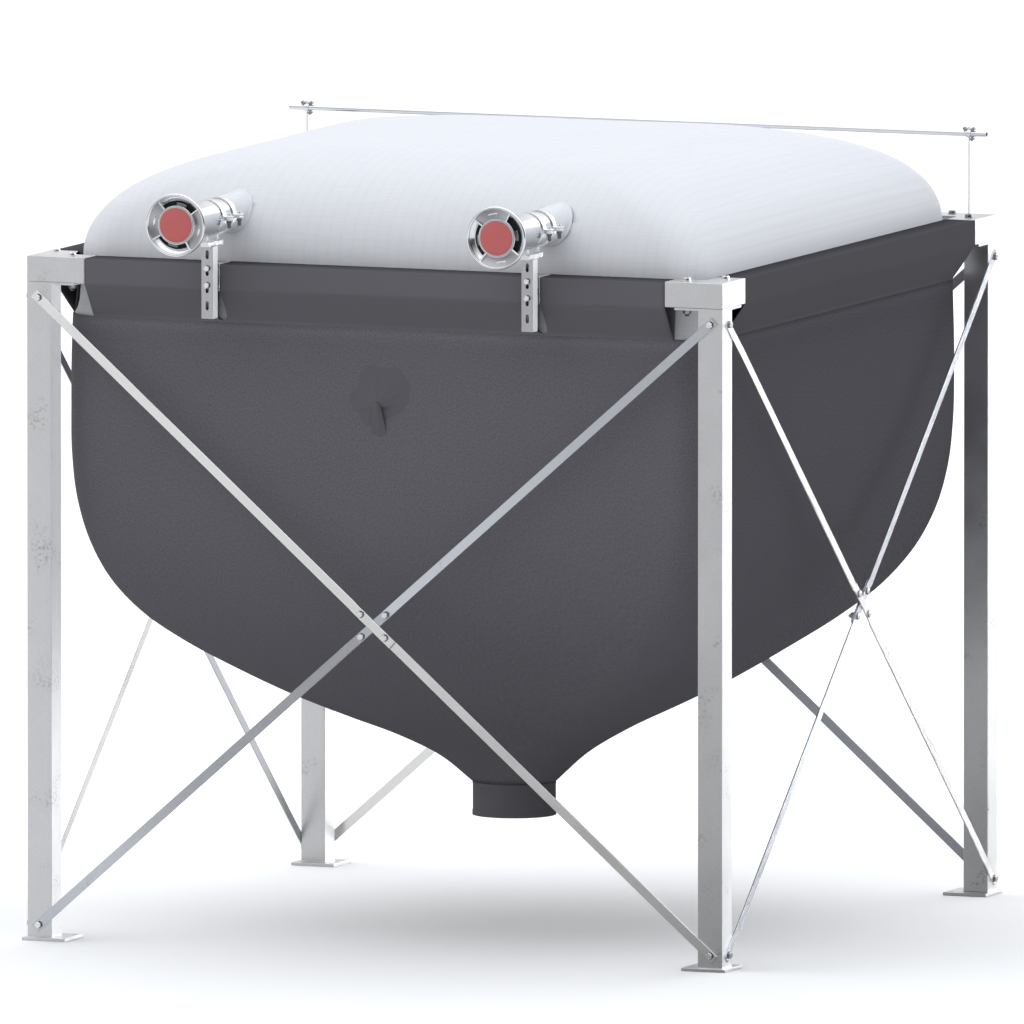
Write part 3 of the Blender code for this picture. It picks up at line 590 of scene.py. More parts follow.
BRACE_WIDTH = 0.025
BRACE_THICK = 0.004
BRACE_GAP = 0.0003
BRACE_INSET = 0.034
BRACE_TOP = 1.729
BRACE_FOOT = 0.043
BRACE_END = 0.016
# Where an arm starts and ends its slant to another level, from its end
ARM_SLANT = (0.040, 0.140)
STEP_AT = 0.074
STEP_RUN = 0.004
STEP_SHARE = 0.45
INNER_STEP = 0.0016
JOINT_HALF = 0.075
JOINT_BOLT = 0.046
JOINT_THICK = 0.0033
JOINT_BACK = 0.0035
JOINT_NUT = 0.017
STRAP_BOLT = 0.0165
# Height of the bolt heads over the crossing and over the ends of the bars, by side
JOINT_HEADS = {"front": 0.0098, "right": 0.0053, "back": 0.0033, "left": 0.0053}
END_HEADS = {"front": 0.0098, "right": 0.0094, "back": 0.0075, "left": 0.0094}


def flat_bar(stations, outline):
    """Bar of flat sections carried along X at (distance, outward) stations."""
    rows = np.array([[(distance, across, out + depth) for across, depth in outline]
                     for distance, out in stations])
    return rows.reshape(-1, 3), ring_faces(len(rows), len(outline))


def bar_section(width, thick, edge=0.0006):
    """Rectangle with small corner flats, from its inner to its outer face."""
    half = width / 2
    return [(-half + edge, 0), (half - edge, 0), (half, edge), (half, thick - edge),
            (half - edge, thick), (-half + edge, thick), (-half, thick - edge), (-half, edge)]


def brace_axes(rising, turn):
    """Middle of a brace, its length, and its along, across and outward directions."""
    run = 2 * (HALF - BRACE_INSET)
    rise = BRACE_TOP - BRACE_FOOT
    length = math.hypot(run, rise)
    lift = rise if rising else -rise
    along = turned_direction((run / length, 0, lift / length), turn)
    outward = turned_direction((0, -1, 0), turn)
    middle = quarter_turned((0, -HALF - BRACE_GAP, (BRACE_TOP + BRACE_FOOT) / 2), turn)
    return middle, length, along, np.cross(outward, along), outward


def along_brace(form, axes):
    """Form in metres along, across and out of a brace, laid on the brace's place."""
    middle, _, *directions = axes
    return form[0] @ np.stack(directions) + middle, form[1]


def brace_form(rising, turn):
    """Arms from both ends that step to another level where they are joined.

    The outer bar steps outwards, over the inner one, and the inner bar inwards.
    """
    axes = brace_axes(rising, turn)
    half = axes[1] / 2
    full = 0.0 if rising else BRACE_THICK + BRACE_GAP
    arm = INNER_STEP if rising else full * STEP_SHARE
    one_side = [(half + BRACE_END, 0.0), (half - ARM_SLANT[0], 0.0), (half - ARM_SLANT[1], arm),
                (STEP_AT + STEP_RUN, arm), (STEP_AT, full), (STEP_AT * 0.5, full)]
    stations = [(-d, out) for d, out in one_side] + one_side[::-1]
    return along_brace(flat_bar(stations, bar_section(BRACE_WIDTH, BRACE_THICK)), axes)


# Painted light and shade: one zinc made lighter on the outer bars and darker on the inner bars and
# their joint flats
OUTER_STRAP_PAINTED_LIGHT = galvanised("strap_zinc_painted_light_outer", (0.86, 0.85, 0.83), 0.12, (0.12, 0.30))
INNER_STRAP_PAINTED_SHADE = galvanised("strap_zinc_painted_shade_inner", (0.58, 0.595, 0.63), 0.12, (0.12, 0.30))
joint_flats, joint_bolts, bolt_sides = [], [], []
for turn, side in enumerate(SIDES):
    for kind, rising, look in (("outer", False, OUTER_STRAP_PAINTED_LIGHT), ("inner", True, INNER_STRAP_PAINTED_SHADE)):
        strap = form_piece(f"strap_{side}_{kind}", brace_form(rising, turn), look, 30)
        fitted(strap, "galvanised_steel", f"brace_{side}_{kind}")
        if side == "right":
            lit(strap, shades=False)
        axes = brace_axes(rising, turn)
        middle, length, along, across, outward = axes
        face = BRACE_THICK + (0.0 if rising else BRACE_THICK + BRACE_GAP)
        for sign in (-1, 1):
            head = middle + along * sign * JOINT_BOLT
            end = middle + along * sign * length / 2 + outward * BRACE_THICK
            for place, height in ((head + outward * face, JOINT_HEADS[side]),
                                  (end, END_HEADS[side])):
                cap, sides = capped_head(place, outward, STRAP_BOLT, height)
                joint_bolts.append(cap)
                bolt_sides += sides
            if rising:
                joint_bolts += bolt_tail(head - outward * JOINT_BACK, -outward, JOINT_NUT)
        if rising:
            back = flat_bar([(-JOINT_HALF, -JOINT_BACK), (JOINT_HALF, -JOINT_BACK)],
                            bar_section(BRACE_WIDTH, JOINT_THICK))
            joint_flats.append(along_brace(back, axes))
small_parts("brace_joint_flats", joint_flats, INNER_STRAP_PAINTED_SHADE, smooth_angle=30)
small_parts("brace_bolts", joint_bolts, BRIGHT_ZINC_PAINTED_LIGHT)
small_parts("brace_bolt_sides", bolt_sides, PAINTED_SHADE_ZINC)


# Hopper: one bag of dark grey coated fabric. Its plan is a square with round corners,
# which narrows in a soft curve to the round outlet.

CLOTH = 0.0016
PLAN_CORNER = 0.111
HOPPER_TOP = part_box("hopper_front")[1].z
OUTLET_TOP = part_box("outlet_sleeve")[1].z
OUTLET_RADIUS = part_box("outlet_sleeve")[1].x
# Height of the bag's outside and half its width there, from the outlet up
BAG_STATIONS = (
    (0.368, 0.113), (0.440, 0.178), (0.500, 0.262), (0.560, 0.370), (0.620, 0.474),
    (0.700, 0.594), (0.780, 0.700), (0.870, 0.794), (0.960, 0.856), (1.060, 0.897),
    (1.165, 0.921), (1.300, 0.934), (1.450, 0.936), (HOPPER_TOP, 0.932),
)
BAG_ROWS = 100
ARC_STEPS = 20
STRAIGHT_STEPS = 40
SLACK = 0.0016
# Painted light: the bag is a little paler just below the hems, against the shade under them
BAG_PAINTED_LIGHT = 0.45
BAG_PAINTED_LIGHT_TOP = 1.676
BAG_PAINTED_LIGHT_DEPTH = 0.040


def weave_effect():
    """Plain weave in UV metres: a brightness factor and a height.

    Warp and weft are two sine waves, one high where the other is low, and noise at two
    sizes makes the threads uneven.
    """
    tree, given, put = effect_group(
        "cloth_weave", {"Vector": None, "Threads": 700.0, "Mottle": 0.12, "Grain": 0.2},
        ("Tone", "Height"))
    place = given["Vector"]
    parts = node(tree, "SeparateXYZ", {0: place}).outputs
    pitch = scaled(tree, given["Threads"], 2 * math.pi)
    warp, weft = (maths(tree, "SINE", scaled(tree, parts[axis], pitch))
                  for axis in (0, 1))
    fine = noise(tree, place, scale=210.0, detail=3.0)
    broad = noise(tree, place, scale=5.0, detail=3.0)
    tone = scaled(tree, maths(tree, "SUBTRACT", fine, 0.5), given["Grain"], 1.0)
    tone = scaled(tree, maths(tree, "SUBTRACT", broad, 0.5), given["Mottle"], tone)
    height = scaled(tree, scaled(tree, warp, weft), 0.5, fine)
    return put_out(tree, put, tone, height)


WEAVE = weave_effect()


def fabric(name, colour, grain):
    """Dull coated cloth, with painted shade and painted light stored on its points."""
    look, _ = new_look(name, 0.72, 0.0, 0.0)
    tree = look.node_tree
    cloth = place_effect(look, WEAVE, "UV", Threads=700.0, Mottle=0.06, Grain=grain)
    painted_light_and_shade = node(tree, "Attribute", {}, attribute_name="painted_light_and_shade").outputs["Fac"]
    tone = scaled(tree, scaled(tree, painted_light_and_shade, -0.55, 1.0), cloth["Tone"])
    return surfaced(look, colour, tone, cloth["Height"], (0.62, 0.80), cloth["Height"],
                    (0.25, 0.0004))


DARK_CLOTH = fabric("dark_fabric", (0.148, 0.144, 0.159), grain=0.10)
BAG_CLOTH = fabric("dark_bag_fabric", (0.147, 0.143, 0.160), grain=0.95)
PLAIN_CLOTH = fabric("dark_plain_fabric", (0.134, 0.130, 0.145), grain=0.08)


def plan_ring(half, radius):
    """Rounded square, counter-clockwise from the front end of its left side."""
    reach = half - radius
    arc = np.linspace(0, math.pi / 2, ARC_STEPS + 1) + math.pi
    corner = np.stack([-reach + radius * np.cos(arc), -reach + radius * np.sin(arc)], 1)
    across = np.linspace(-reach, reach, STRAIGHT_STEPS + 1)[1:-1]
    sides = [np.concatenate([corner, np.stack([across, np.full(across.shape, -half)], 1)])]
    for _ in range(3):
        sides.append(np.stack([-sides[-1][:, 1], sides[-1][:, 0]], 1))
    return np.concatenate(sides)


def ring_stack(levels):
    """Grid of points of plan rings at (half, corner radius, height) levels."""
    rings = [np.insert(plan_ring(half, radius), 2, height, axis=1)
             for half, radius, height in levels]
    return np.array(rings) + (0.0, CENTRE_Y, 0.0)


def smooth_through(stations, count):
    """Even points on a smooth Hermite curve through the stations."""
    points = np.array(stations)
    lengths = np.linalg.norm(np.diff(points, axis=0), axis=1)
    knots = np.concatenate([[0], np.cumsum(lengths)])
    slopes = np.gradient(points, knots, axis=0)
    at = np.linspace(0, knots[-1], count)
    span = np.clip(np.searchsorted(knots, at, side="right") - 1, 0, len(knots) - 2)
    step = lengths[span][:, None]
    t = ((at - knots[span]) / lengths[span])[:, None]
    start, end = points[span], points[span + 1]
    return ((2 * t**3 - 3 * t**2 + 1) * start + (t**3 - 2 * t**2 + t) * step * slopes[span]
            + (3 * t**2 - 2 * t**3) * end + (t**3 - t**2) * step * slopes[span + 1])


def with_seam(grid):
    """The grid of closed rings with its first column once more at the end."""
    return np.concatenate([grid, grid[:, :1]], 1)


def arc_metres(grid, axis):
    """Distance along one index of a grid, for a fair UV."""
    steps = np.linalg.norm(np.diff(grid, axis=axis), axis=-1)
    first = np.zeros_like(np.take(steps, [0], axis=axis))
    return np.cumsum(np.concatenate([first, steps], axis), axis)


def grid_piece(name, grid, look, uv=None, smooth_angle=60):
    """Surface through a grid of closed rings, with a UV map in metres."""
    rows, columns = grid.shape[:2]
    i, j = np.meshgrid(np.arange(rows - 1), np.arange(columns), indexing="ij")
    i, j = i.ravel(), j.ravel()
    row = np.stack([i, i, i + 1, i + 1], 1)
    column = np.stack([j, j + 1, j + 1, j], 1)
    mesh = bpy.data.meshes.new(name)
    mesh.from_pydata(grid.reshape(-1, 3).tolist(), [], (row * columns + column % columns).tolist())
    if uv is None:
        uv = np.stack([arc_metres(with_seam(grid), axis) for axis in (1, 0)], -1)
    layer = mesh.uv_layers.new(name="cloth")
    layer.data.foreach_set("uv", uv[row, column].astype(np.float32).ravel())
    return mesh_piece(name, mesh, look, smooth_angle)


def cloth_piece(name, grid, look, thick=CLOTH, **shape):
    """Surface through a grid with its cloth's thickness laid on inside."""
    piece = grid_piece(name, grid, look, **shape)
    modified(piece, "cloth", "SOLIDIFY", thickness=thick, offset=-1.0, use_rim=True)
    return piece


def paint_light_and_shade(piece, share):
    """Store the painted shade at each point of a grid piece; values below 0 are painted light."""
    layer = piece.data.attributes.new("painted_light_and_shade", "FLOAT", "POINT")
    layer.data.foreach_set("value", share.astype(np.float32).ravel())


def gentle_slack(grid, amount, wavelengths, seeds):
    """Sum of a few slow sine waves over the surface, as cloth that isn't quite tight."""
    total = np.zeros(grid.shape[:2])
    for length, seed in zip(wavelengths, seeds):
        turn = np.array([math.sin(seed), math.cos(seed), math.sin(2.3 * seed)])
        total += np.sin(grid @ unit(turn) * 2 * math.pi / length + seed * 3.1)
    return amount * total / len(wavelengths)


def surface_normals(grid):
    """Unit normals of closed rings that rise, pointing out."""
    around = np.roll(grid, -1, 1) - np.roll(grid, 1, 1)
    return unit(np.cross(around, np.gradient(grid, axis=0)))


def bag_slack(grid):
    """How far the bag's wall stands out at points on it, none where it is held."""
    rise = (grid[..., 2] - OUTLET_TOP) / (HOPPER_TOP - OUTLET_TOP)
    held = np.clip(rise * 6, 0, 1) * np.clip((1 - rise) * 8, 0, 1)
    return gentle_slack(grid, SLACK, (0.46, 0.31, 0.73), (0.7, 2.1, 4.4)) * held


def hopper_surface():
    """Plan rings as wide as the curve through the stations says, plus the wall's slack."""
    curve = smooth_through(BAG_STATIONS, BAG_ROWS)
    levels = [(half, min(PLAN_CORNER, half - 0.0005), height) for height, half in curve]
    grid = ring_stack(levels)
    return grid + surface_normals(grid) * bag_slack(grid)[..., None]


bag_grid = hopper_surface()
bag = cloth_piece("hopper_bag", bag_grid, BAG_CLOTH)
# Painted light on the bag's top, just below the hems
paint_light_and_shade(bag, -BAG_PAINTED_LIGHT * np.clip(1 - (BAG_PAINTED_LIGHT_TOP - bag_grid[..., 2]) / BAG_PAINTED_LIGHT_DEPTH, 0, 1))
fitted(bag, "dark_fabric", *[f"hopper_{side}" for side in SIDES])


# Outlet: a short round sleeve of the same fabric, sewn to the bag with a raised seam and
# turned up in a hem at its open lower end.

OUTLET_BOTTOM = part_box("outlet_sleeve")[0].z
SEAM_RAISE = 0.0012


def outlet_surface():
    """Round tube, a little wider in the hem at its end and in the seam at its top."""
    angle = np.arange(96) * 2 * math.pi / 96
    height = np.linspace(OUTLET_BOTTOM, OUTLET_TOP, 40)[:, None]
    hem = 1 / (1 + np.exp((height - OUTLET_BOTTOM - 0.014) / 0.0007))
    seam = np.exp(-((height - OUTLET_TOP + 0.004) / 0.0022) ** 2)
    radius = OUTLET_RADIUS - SEAM_RAISE + SEAM_RAISE * np.clip(hem + seam, 0, 1)
    return np.stack([radius * np.cos(angle), CENTRE_Y + radius * np.sin(angle),
                     height + 0 * angle], -1)


outlet = fitted(cloth_piece("outlet_spout", outlet_surface(), DARK_CLOTH), "dark_fabric",
                "outlet_sleeve")


# Hems: sleeves of the dark fabric round the rim tubes, closed below by a sloping skirt
# that is sewn to the bag's top edge. The front one has two slots for the struts' hooks.

HEM_OUT = 0.998
HEM_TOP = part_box("hem_front")[1].z
HEM_FOLD = 1.769
HEM_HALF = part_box("hem_front")[1].x
COVER_HALF = 0.9125
FOOT_HALF = 0.9285
HEM_TUCK = (0.9306, 1.6735)
SLOT_HALF = 0.0165
SLOT_BOTTOM = 1.681
PIPE_X = 0.460
RIM_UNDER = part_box("rim_tube_front")[0].z
RIM_IN = 0.9963
HEM_CLOTH = 0.0008


def rounded_path(corners, radii, steps=5):
    """Closed path through flat corners, each replaced by a short arc-like curve."""
    corners = np.array(corners, float)
    count = len(corners)
    points = []
    for i, radius in enumerate(radii):
        here, before, after = corners[i], corners[i - 1], corners[(i + 1) % count]
        start = here + unit(before - here) * radius
        end = here + unit(after - here) * radius
        t = np.linspace(0, 1, steps)[:, None]
        points.append((1 - t) ** 2 * start + 2 * t * (1 - t) * here + t**2 * end)
    return np.concatenate(points)


def fill_between(path, longest):
    """Add points on the long straight runs of a closed path."""
    points = []
    for here, there in zip(path, np.roll(path, -1, 0)):
        count = max(1, math.ceil(np.linalg.norm(there - here) / longest))
        points.append(here + (there - here) * np.linspace(0, 1, count, endpoint=False)[:, None])
    return np.concatenate(points)


def hem_surface(turn):
    """Closed section of the sleeve carried along the side, with stitched ridges, and the painted
    shade and light on it.
    """
    section = [(HEM_OUT, HEM_FOLD), (HEM_OUT, HEM_TOP), (COVER_HALF + 0.0006, HEM_TOP),
               (FOOT_HALF + 0.0006, HOPPER_TOP), HEM_TUCK]
    path = fill_between(rounded_path(section, (0.006, 0.003, 0.002, 0.0006, 0.0006)), 0.006)
    x = np.linspace(-HEM_HALF, HEM_HALF, 140)
    out, z = path[:, :1], path[:, 1:]
    skirt = np.clip((HEM_FOLD - z) / (HEM_FOLD - HOPPER_TOP), 0, 1) * (out > FOOT_HALF + 0.004)
    wave = np.sin(x * 2 * math.pi / 0.27 + 0.6) + 0.6 * np.sin(x * 2 * math.pi / 0.117)
    grid = np.stack(np.broadcast_arrays(
        x, -(out + 0.0007 * wave * np.sin(skirt * math.pi)), z), -1)
    along = unit(np.roll(path, -1, 0) - np.roll(path, 1, 0))
    # Painted shade on the top of the sleeve, darkest by the dome, and painted light on the skirt's
    # lower edge, against the shade it throws on the bag
    inwards = np.clip((HEM_OUT - out) / (HEM_OUT - COVER_HALF), 0, 1)
    shade = np.clip(-along[:, :1], 0, 1) * (0.75 + 0.45 * inwards) * (z > HEM_FOLD)
    shade = shade - 0.35 * np.clip(1 - (z - HEM_TUCK[1]) / 0.014, 0, 1) * (out > FOOT_HALF + 0.001)
    return (np.transpose(quarter_turned(grid, turn), (1, 0, 2))[:, ::-1],
            np.transpose(shade + 0.0 * x)[:, ::-1])


def prism(outline, depth):
    """Cutter with an (x, z) outline, from before the sleeve's face back to a depth."""
    near = CENTRE_Y - HEM_OUT - 0.01
    points = np.array([(x, y, z) for y in (near, CENTRE_Y - depth) for x, z in outline])
    return points, [face[::-1] for face in ring_faces(2, len(outline))]


def cut_by(piece, forms):
    """Cut forms out of a piece, with its modifiers worked in, and leave a plain mesh."""
    name = piece.name
    piece.name = "uncut"
    tools = [form_piece("cutter", form, DARK_CLOTH) for form in forms]
    for tool in tools:
        modified(piece, "cut", "BOOLEAN", operation="DIFFERENCE", solver="EXACT", object=tool)
    graph = bpy.context.evaluated_depsgraph_get()
    mesh = bpy.data.meshes.new_from_object(piece.evaluated_get(graph))
    mesh.name = name
    made = linked(name, mesh)
    for spent in (piece, *tools):
        bpy.data.objects.remove(spent)
    return made


def front_slots():
    """Round-ended slots for the struts' hooks, deeper above the rim tube's under side."""
    arc = np.linspace(-math.pi, 0, 17)
    cuts = []
    for x in (-PIPE_X, PIPE_X):
        left, right = x - SLOT_HALF, x + SLOT_HALF
        slot = [(x + SLOT_HALF * math.cos(a), SLOT_BOTTOM + SLOT_HALF * (1 + math.sin(a)))
                for a in arc] + [(right, RIM_UNDER), (left, RIM_UNDER)]
        cuts.append(prism(slot, COVER_HALF - 0.004))
        for low, depth in ((RIM_UNDER - 0.001, RIM_IN - 0.012), (RIM_UNDER + 0.060, HALF - 0.081)):
            top = HEM_TOP + 0.01
            cuts.append(prism([(left, low), (right, low), (right, top), (left, top)], depth))
    return cuts


for turn, side in enumerate(SIDES):
    grid, shade = hem_surface(turn)
    sleeve = cloth_piece(f"hem_sleeve_{side}", grid, DARK_CLOTH, HEM_CLOTH, smooth_angle=50)
    paint_light_and_shade(sleeve, shade)
    if side == "front":
        sleeve = cut_by(sleeve, front_slots())
    fitted(sleeve, "dark_fabric", f"hem_{side}")


# Cover: one dome of white ribbed cloth, filled out from below, on a collar of the same
# cloth that flares to the bag's top edge.

COVER_BASE = 1.8384
COVER_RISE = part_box("cover_front_left")[1].z - COVER_BASE
COVER_FULLNESS = 4.6
COVER_CORNER = 0.120
COVER_SOFTENING = 0.35
COVER_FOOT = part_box("cover_front_left")[0].z
COLLAR_FLARE = ((0.0, FOOT_HALF), (0.013, 0.9225), (0.035, 0.9180), (0.073, 0.9155))
RIB_PITCH = 0.034
PIPE_Z = 1.966
HOLE_RADIUS = 0.0465
COVER_CLOTH = 0.0015
CLOTH_WHITE = (0.671, 0.680, 0.709)


def ribbed_fabric():
    """White cloth with soft ribs along V, one pitch apart, and finer cross threads."""
    look, _ = new_look("white_fabric", 0.75, 0.0, 0.12)
    tree = look.node_tree
    cloth = place_effect(look, WEAVE, "UV", Threads=620.0, Mottle=0.05, Grain=0.07)
    where = node(tree, "TexCoord", {}).outputs["UV"]
    across = node(tree, "SeparateXYZ", {0: where}).outputs[0]
    wave = maths(tree, "COSINE", scaled(tree, across, 2 * math.pi / RIB_PITCH))
    rib = spread(tree, wave, 0.35, 1.0, easing="SMOOTHSTEP")
    cross = noise(tree, where, 1.0, 2.0, stretch=(8.0, 130.0, 1.0))
    tone = scaled(tree, rib, -0.022, cloth["Tone"])
    tone = scaled(tree, maths(tree, "SUBTRACT", cross, 0.5), 0.10, tone)
    height = scaled(tree, rib, -0.5, cloth["Height"])
    return surfaced(look, CLOTH_WHITE, tone, cloth["Height"], (0.68, 0.82), height,
                    (0.25, 0.0005))


WHITE_CLOTH = ribbed_fabric()


def dome_half(height):
    """Half width of the dome's level line at a height."""
    share = np.clip((np.asarray(height, float) - COVER_BASE) / COVER_RISE, 0, 1)
    return COVER_HALF * (1 - share**2) ** (1 / COVER_FULLNESS)


def dome_levels(rows):
    """Levels of the dome: half = base half times cos(t)^(2 / fullness), rise sin(t)."""
    t = np.linspace(0, 1, rows) ** 0.85 * math.pi / 2 * 0.998
    half = COVER_HALF * np.cos(t) ** (2 / COVER_FULLNESS)
    radius = np.minimum(COVER_CORNER + COVER_SOFTENING * (COVER_HALF - half), half * 0.97)
    return np.stack([half, radius, COVER_BASE + COVER_RISE * np.sin(t)], 1)


def rib_position(grid):
    """Distance across the cloth from its middle line, over the crown and down the side."""
    height = COVER_BASE + COVER_RISE * np.sin(np.linspace(0, math.pi / 2, 400))
    half = dome_half(height)
    length = np.concatenate([[0], np.cumsum(np.hypot(np.diff(half), np.diff(height)))])
    from_top = length[-1] - length
    x = np.abs(grid[..., 0])
    across = np.interp(x, half[::-1], from_top[::-1])
    side = np.clip((x - 0.80) / 0.10, 0, 1)
    down = np.interp(grid[..., 2], height, from_top)
    return np.sign(grid[..., 0]) * np.where(side > 0, across + side * (down - across) * (
        np.abs(grid[..., 1] - CENTRE_Y) < dome_half(grid[..., 2]) - 0.06), across)


def cover_surface():
    """Plan rings of the collar and the dome, plus slack; UV is across and down the ribs."""
    flare = [(half, PLAN_CORNER, COVER_FOOT + above) for above, half in COLLAR_FLARE]
    flare.insert(3, (0.9168, PLAN_CORNER, COVER_FOOT + 0.054))
    flare += [(0.9145, 0.114, COVER_FOOT + 0.105), (0.9130, 0.118, COVER_FOOT + 0.140)]
    levels = np.concatenate([flare, dome_levels(64)])
    grid = ring_stack(levels)
    lift = np.clip((grid[..., 2] - COVER_BASE) / 0.06, 0, 1)
    slack = gentle_slack(grid, 0.0016, (0.52, 0.37, 0.81), (1.3, 3.4, 5.2)) - 0.0014
    grid = grid + surface_normals(grid) * (slack * lift)[..., None]
    around = with_seam(grid)
    return grid, np.stack([rib_position(around), arc_metres(around, 0)], -1)


def cover_piece():
    """The dome's surface closed at its crown, with the two filling holes cut out."""
    grid, uv = cover_surface()
    piece = cloth_piece("cover_dome", grid, WHITE_CLOTH, COVER_CLOTH, uv=uv)
    work = bmesh.new()
    work.from_mesh(piece.data)
    work.verts.ensure_lookup_table()
    crown = work.faces.new(work.verts[-grid.shape[1]:])
    crown.smooth = True
    for loop in crown.loops:
        loop[work.loops.layers.uv["cloth"]].uv = loop.vert.co.xy
    bmesh.ops.triangulate(work, faces=[crown])
    work.to_mesh(piece.data)
    work.free()
    holes = [placed(turned_form([(HOLE_RADIUS, 0.0), (HOLE_RADIUS, 0.35)], 48),
                    (x, CENTRE_Y - 1.1, PIPE_Z), (0, 1, 0)) for x in (-PIPE_X, PIPE_X)]
    return cut_by(piece, holes)


dome = cover_piece()
fitted(dome, "white_fabric", *[f"cover_{corner}" for corner in CORNERS])
LIT_COVER.objects.link(dome)


# Inspection sleeve: a short cloth sleeve sewn over a hand hole in the bag's front,
# gathered into a lobed rosette and tied off, with its end hanging down.

ROSETTE = (-0.007, 1.507)
# Outline of the sewn edge: angle in degrees and distance from the middle in millimetres
ROSETTE_EDGE = (
    (0, 91), (22, 92), (46, 88), (60, 84), (74, 74), (88, 67), (100, 76), (114, 83), (130, 80),
    (148, 70), (166, 66), (180, 84), (194, 96), (208, 93), (222, 87), (234, 98), (246, 104),
    (258, 93), (276, 78), (300, 76), (330, 84),
)
EDGE_EASE = 1.05
TIE = (-0.012, 1.470)
TAIL_LENGTH = 0.090
TAIL_TOP_HALF = 0.0085
TAIL_HALF = 0.0225
TAIL_DEPTH = (0.0075, 0.0011)
TAIL_STAND = 0.0165
TAIL_LEAN = 0.0180
SEWN_BEHIND = 0.0004
PUFF = (0.0050, 0.0100)
PLEAT = 0.0010
# Hollow to the right of the tie: the way to it, its spread and its depth
HOLLOW = (5.35, 0.34, 0.0085)
GATHERED_CLOTH = 0.0012


def wall_half(height):
    """Half width of the bag at a height, from the same curve as its surface."""
    curve = smooth_through(BAG_STATIONS, 200)
    return np.interp(height, curve[:, 0], curve[:, 1])


def edge_radius(angle):
    """Distance of the sewn edge, smoothly carried through its outline points."""
    given = np.array(ROSETTE_EDGE, float)
    fine = np.arange(0, 360, 2.0)
    radius = np.interp(fine, given[:, 0], given[:, 1], period=360)
    for _ in range(3):
        radius = (np.roll(radius, 1) + radius + np.roll(radius, -1)) / 3
    return np.interp(np.degrees(angle), fine, radius, period=360) * EDGE_EASE / 1000


def wall_front(x, z):
    """Y of the bag's front face at points across and up it."""
    flat = np.stack([x, CENTRE_Y - wall_half(z), z], -1)
    return flat[..., 1] - bag_slack(flat)


def rosette_surface():
    """Polar grid from the sewn edge to the tie, smooth outside and pleated near the tie."""
    angle = np.linspace(0, 2 * math.pi, 181)[:-1]
    share = np.linspace(0, 1, 30)[:, None]
    radius = edge_radius(angle)
    edge_x = ROSETTE[0] + radius * np.cos(angle)
    edge_z = ROSETTE[1] + radius * np.sin(angle)
    neck_x = TIE[0] + 0.007 * np.cos(angle)
    neck_z = TIE[1] + 0.006 * np.sin(angle)
    x = edge_x + (neck_x - edge_x) * share
    z = edge_z + (neck_z - edge_z) * share
    puff = PUFF[0] * share + PUFF[1] * share**3
    pleats = 0.5 + 0.5 * np.cos(9 * angle + 1.4 * np.sin(2 * angle))
    hollow = np.exp(-(((angle - HOLLOW[0]) / HOLLOW[1]) ** 2)) * HOLLOW[2]
    depth = puff - PLEAT * pleats * (4 * share * (1 - share)) ** 2 - hollow * share**2
    return np.stack([x, wall_front(x, z) + SEWN_BEHIND - depth, z], -1)


def tail_surface():
    """Flattened tube below the tie with soft pleats, which leans back to the bag."""
    angle = np.linspace(0, 2 * math.pi, 65)[:-1]
    drop = np.linspace(0, 1, 28)[:, None]
    close = np.clip(drop * 9, 0.01, 1) ** 0.5
    half = (TAIL_TOP_HALF + (TAIL_HALF - TAIL_TOP_HALF) * drop**0.7) * close
    fold = 1 + 0.25 * np.cos(5 * angle + 0.8) * drop
    x = TIE[0] + 0.001 * drop + half * np.cos(angle)
    depth = TAIL_DEPTH[0] + (TAIL_DEPTH[1] - TAIL_DEPTH[0]) * drop
    out = TAIL_STAND - TAIL_LEAN * drop - depth * close * np.sin(angle) * fold
    z = TIE[1] + 0.010 - TAIL_LENGTH * drop - 0.004 * np.abs(np.sin(angle)) * drop
    return np.stack([x, wall_front(x, z) - out, z], -1)[::-1]


rosette = cloth_piece("inspection_rosette", rosette_surface(), PLAIN_CLOTH, GATHERED_CLOTH)
fitted(rosette, "dark_fabric", "inspection_sleeve")
tail = cloth_piece("inspection_tail", tail_surface(), PLAIN_CLOTH, GATHERED_CLOTH)
fitted(tail, "dark_fabric")


# Filling pipes: polished stainless tubes, 92 mm across, that run from the couplings
# through the front of the cover. Each has a white cloth sleeve from its rear band to the
# cover.

PIPES = (("left", -PIPE_X), ("right", PIPE_X))
PIPE_RADIUS = 0.046
PIPE_WALL = 0.002
PIPE_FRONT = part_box("fill_pipe_left")[0].y
PIPE_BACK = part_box("fill_pipe_left")[1].y
SLEEVE_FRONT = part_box("pipe_sleeve_left")[0].y
SLEEVE_RADIUS = 0.0495
SLEEVE_CLOTH = 0.0010


def polished_effect():
    """Polished steel: fine turning lines across Y and faint smears."""
    tree, given, put = effect_group("polish", {"Vector": None, "Lines": 0.5},
                                    ("Tone", "Dullness", "Height"))
    lines = noise(tree, given["Vector"], 1.0, 2.0, stretch=(3.0, 900.0, 3.0))
    smears = noise(tree, given["Vector"], scale=22.0, detail=4.0)
    tone = scaled(tree, smears, 0.10, 0.95)
    dull = scaled(tree, smears, 0.5, scaled(tree, lines, given["Lines"]))
    return put_out(tree, put, tone, dull, lines)


POLISH = polished_effect()


def stainless(name, colour, low, high):
    """Polished steel of a colour, with a roughness between low and high."""
    look, _ = new_look(name, (low + high) / 2, 1.0)
    shine = place_effect(look, POLISH, "Object")
    return surfaced(look, colour, shine["Tone"], shine["Dullness"], (low, high),
                    shine["Height"], (0.05, 0.0002))


STEEL = stainless("stainless_steel", (0.80, 0.81, 0.83), 0.08, 0.24)


def along_pipe(profile, x, start, segments=96, closed=True):
    """Turned form whose line runs back along Y from a start, at a pipe's place."""
    return placed(turned_form(profile, segments, closed), (x, start, PIPE_Z), (0, 1, 0))


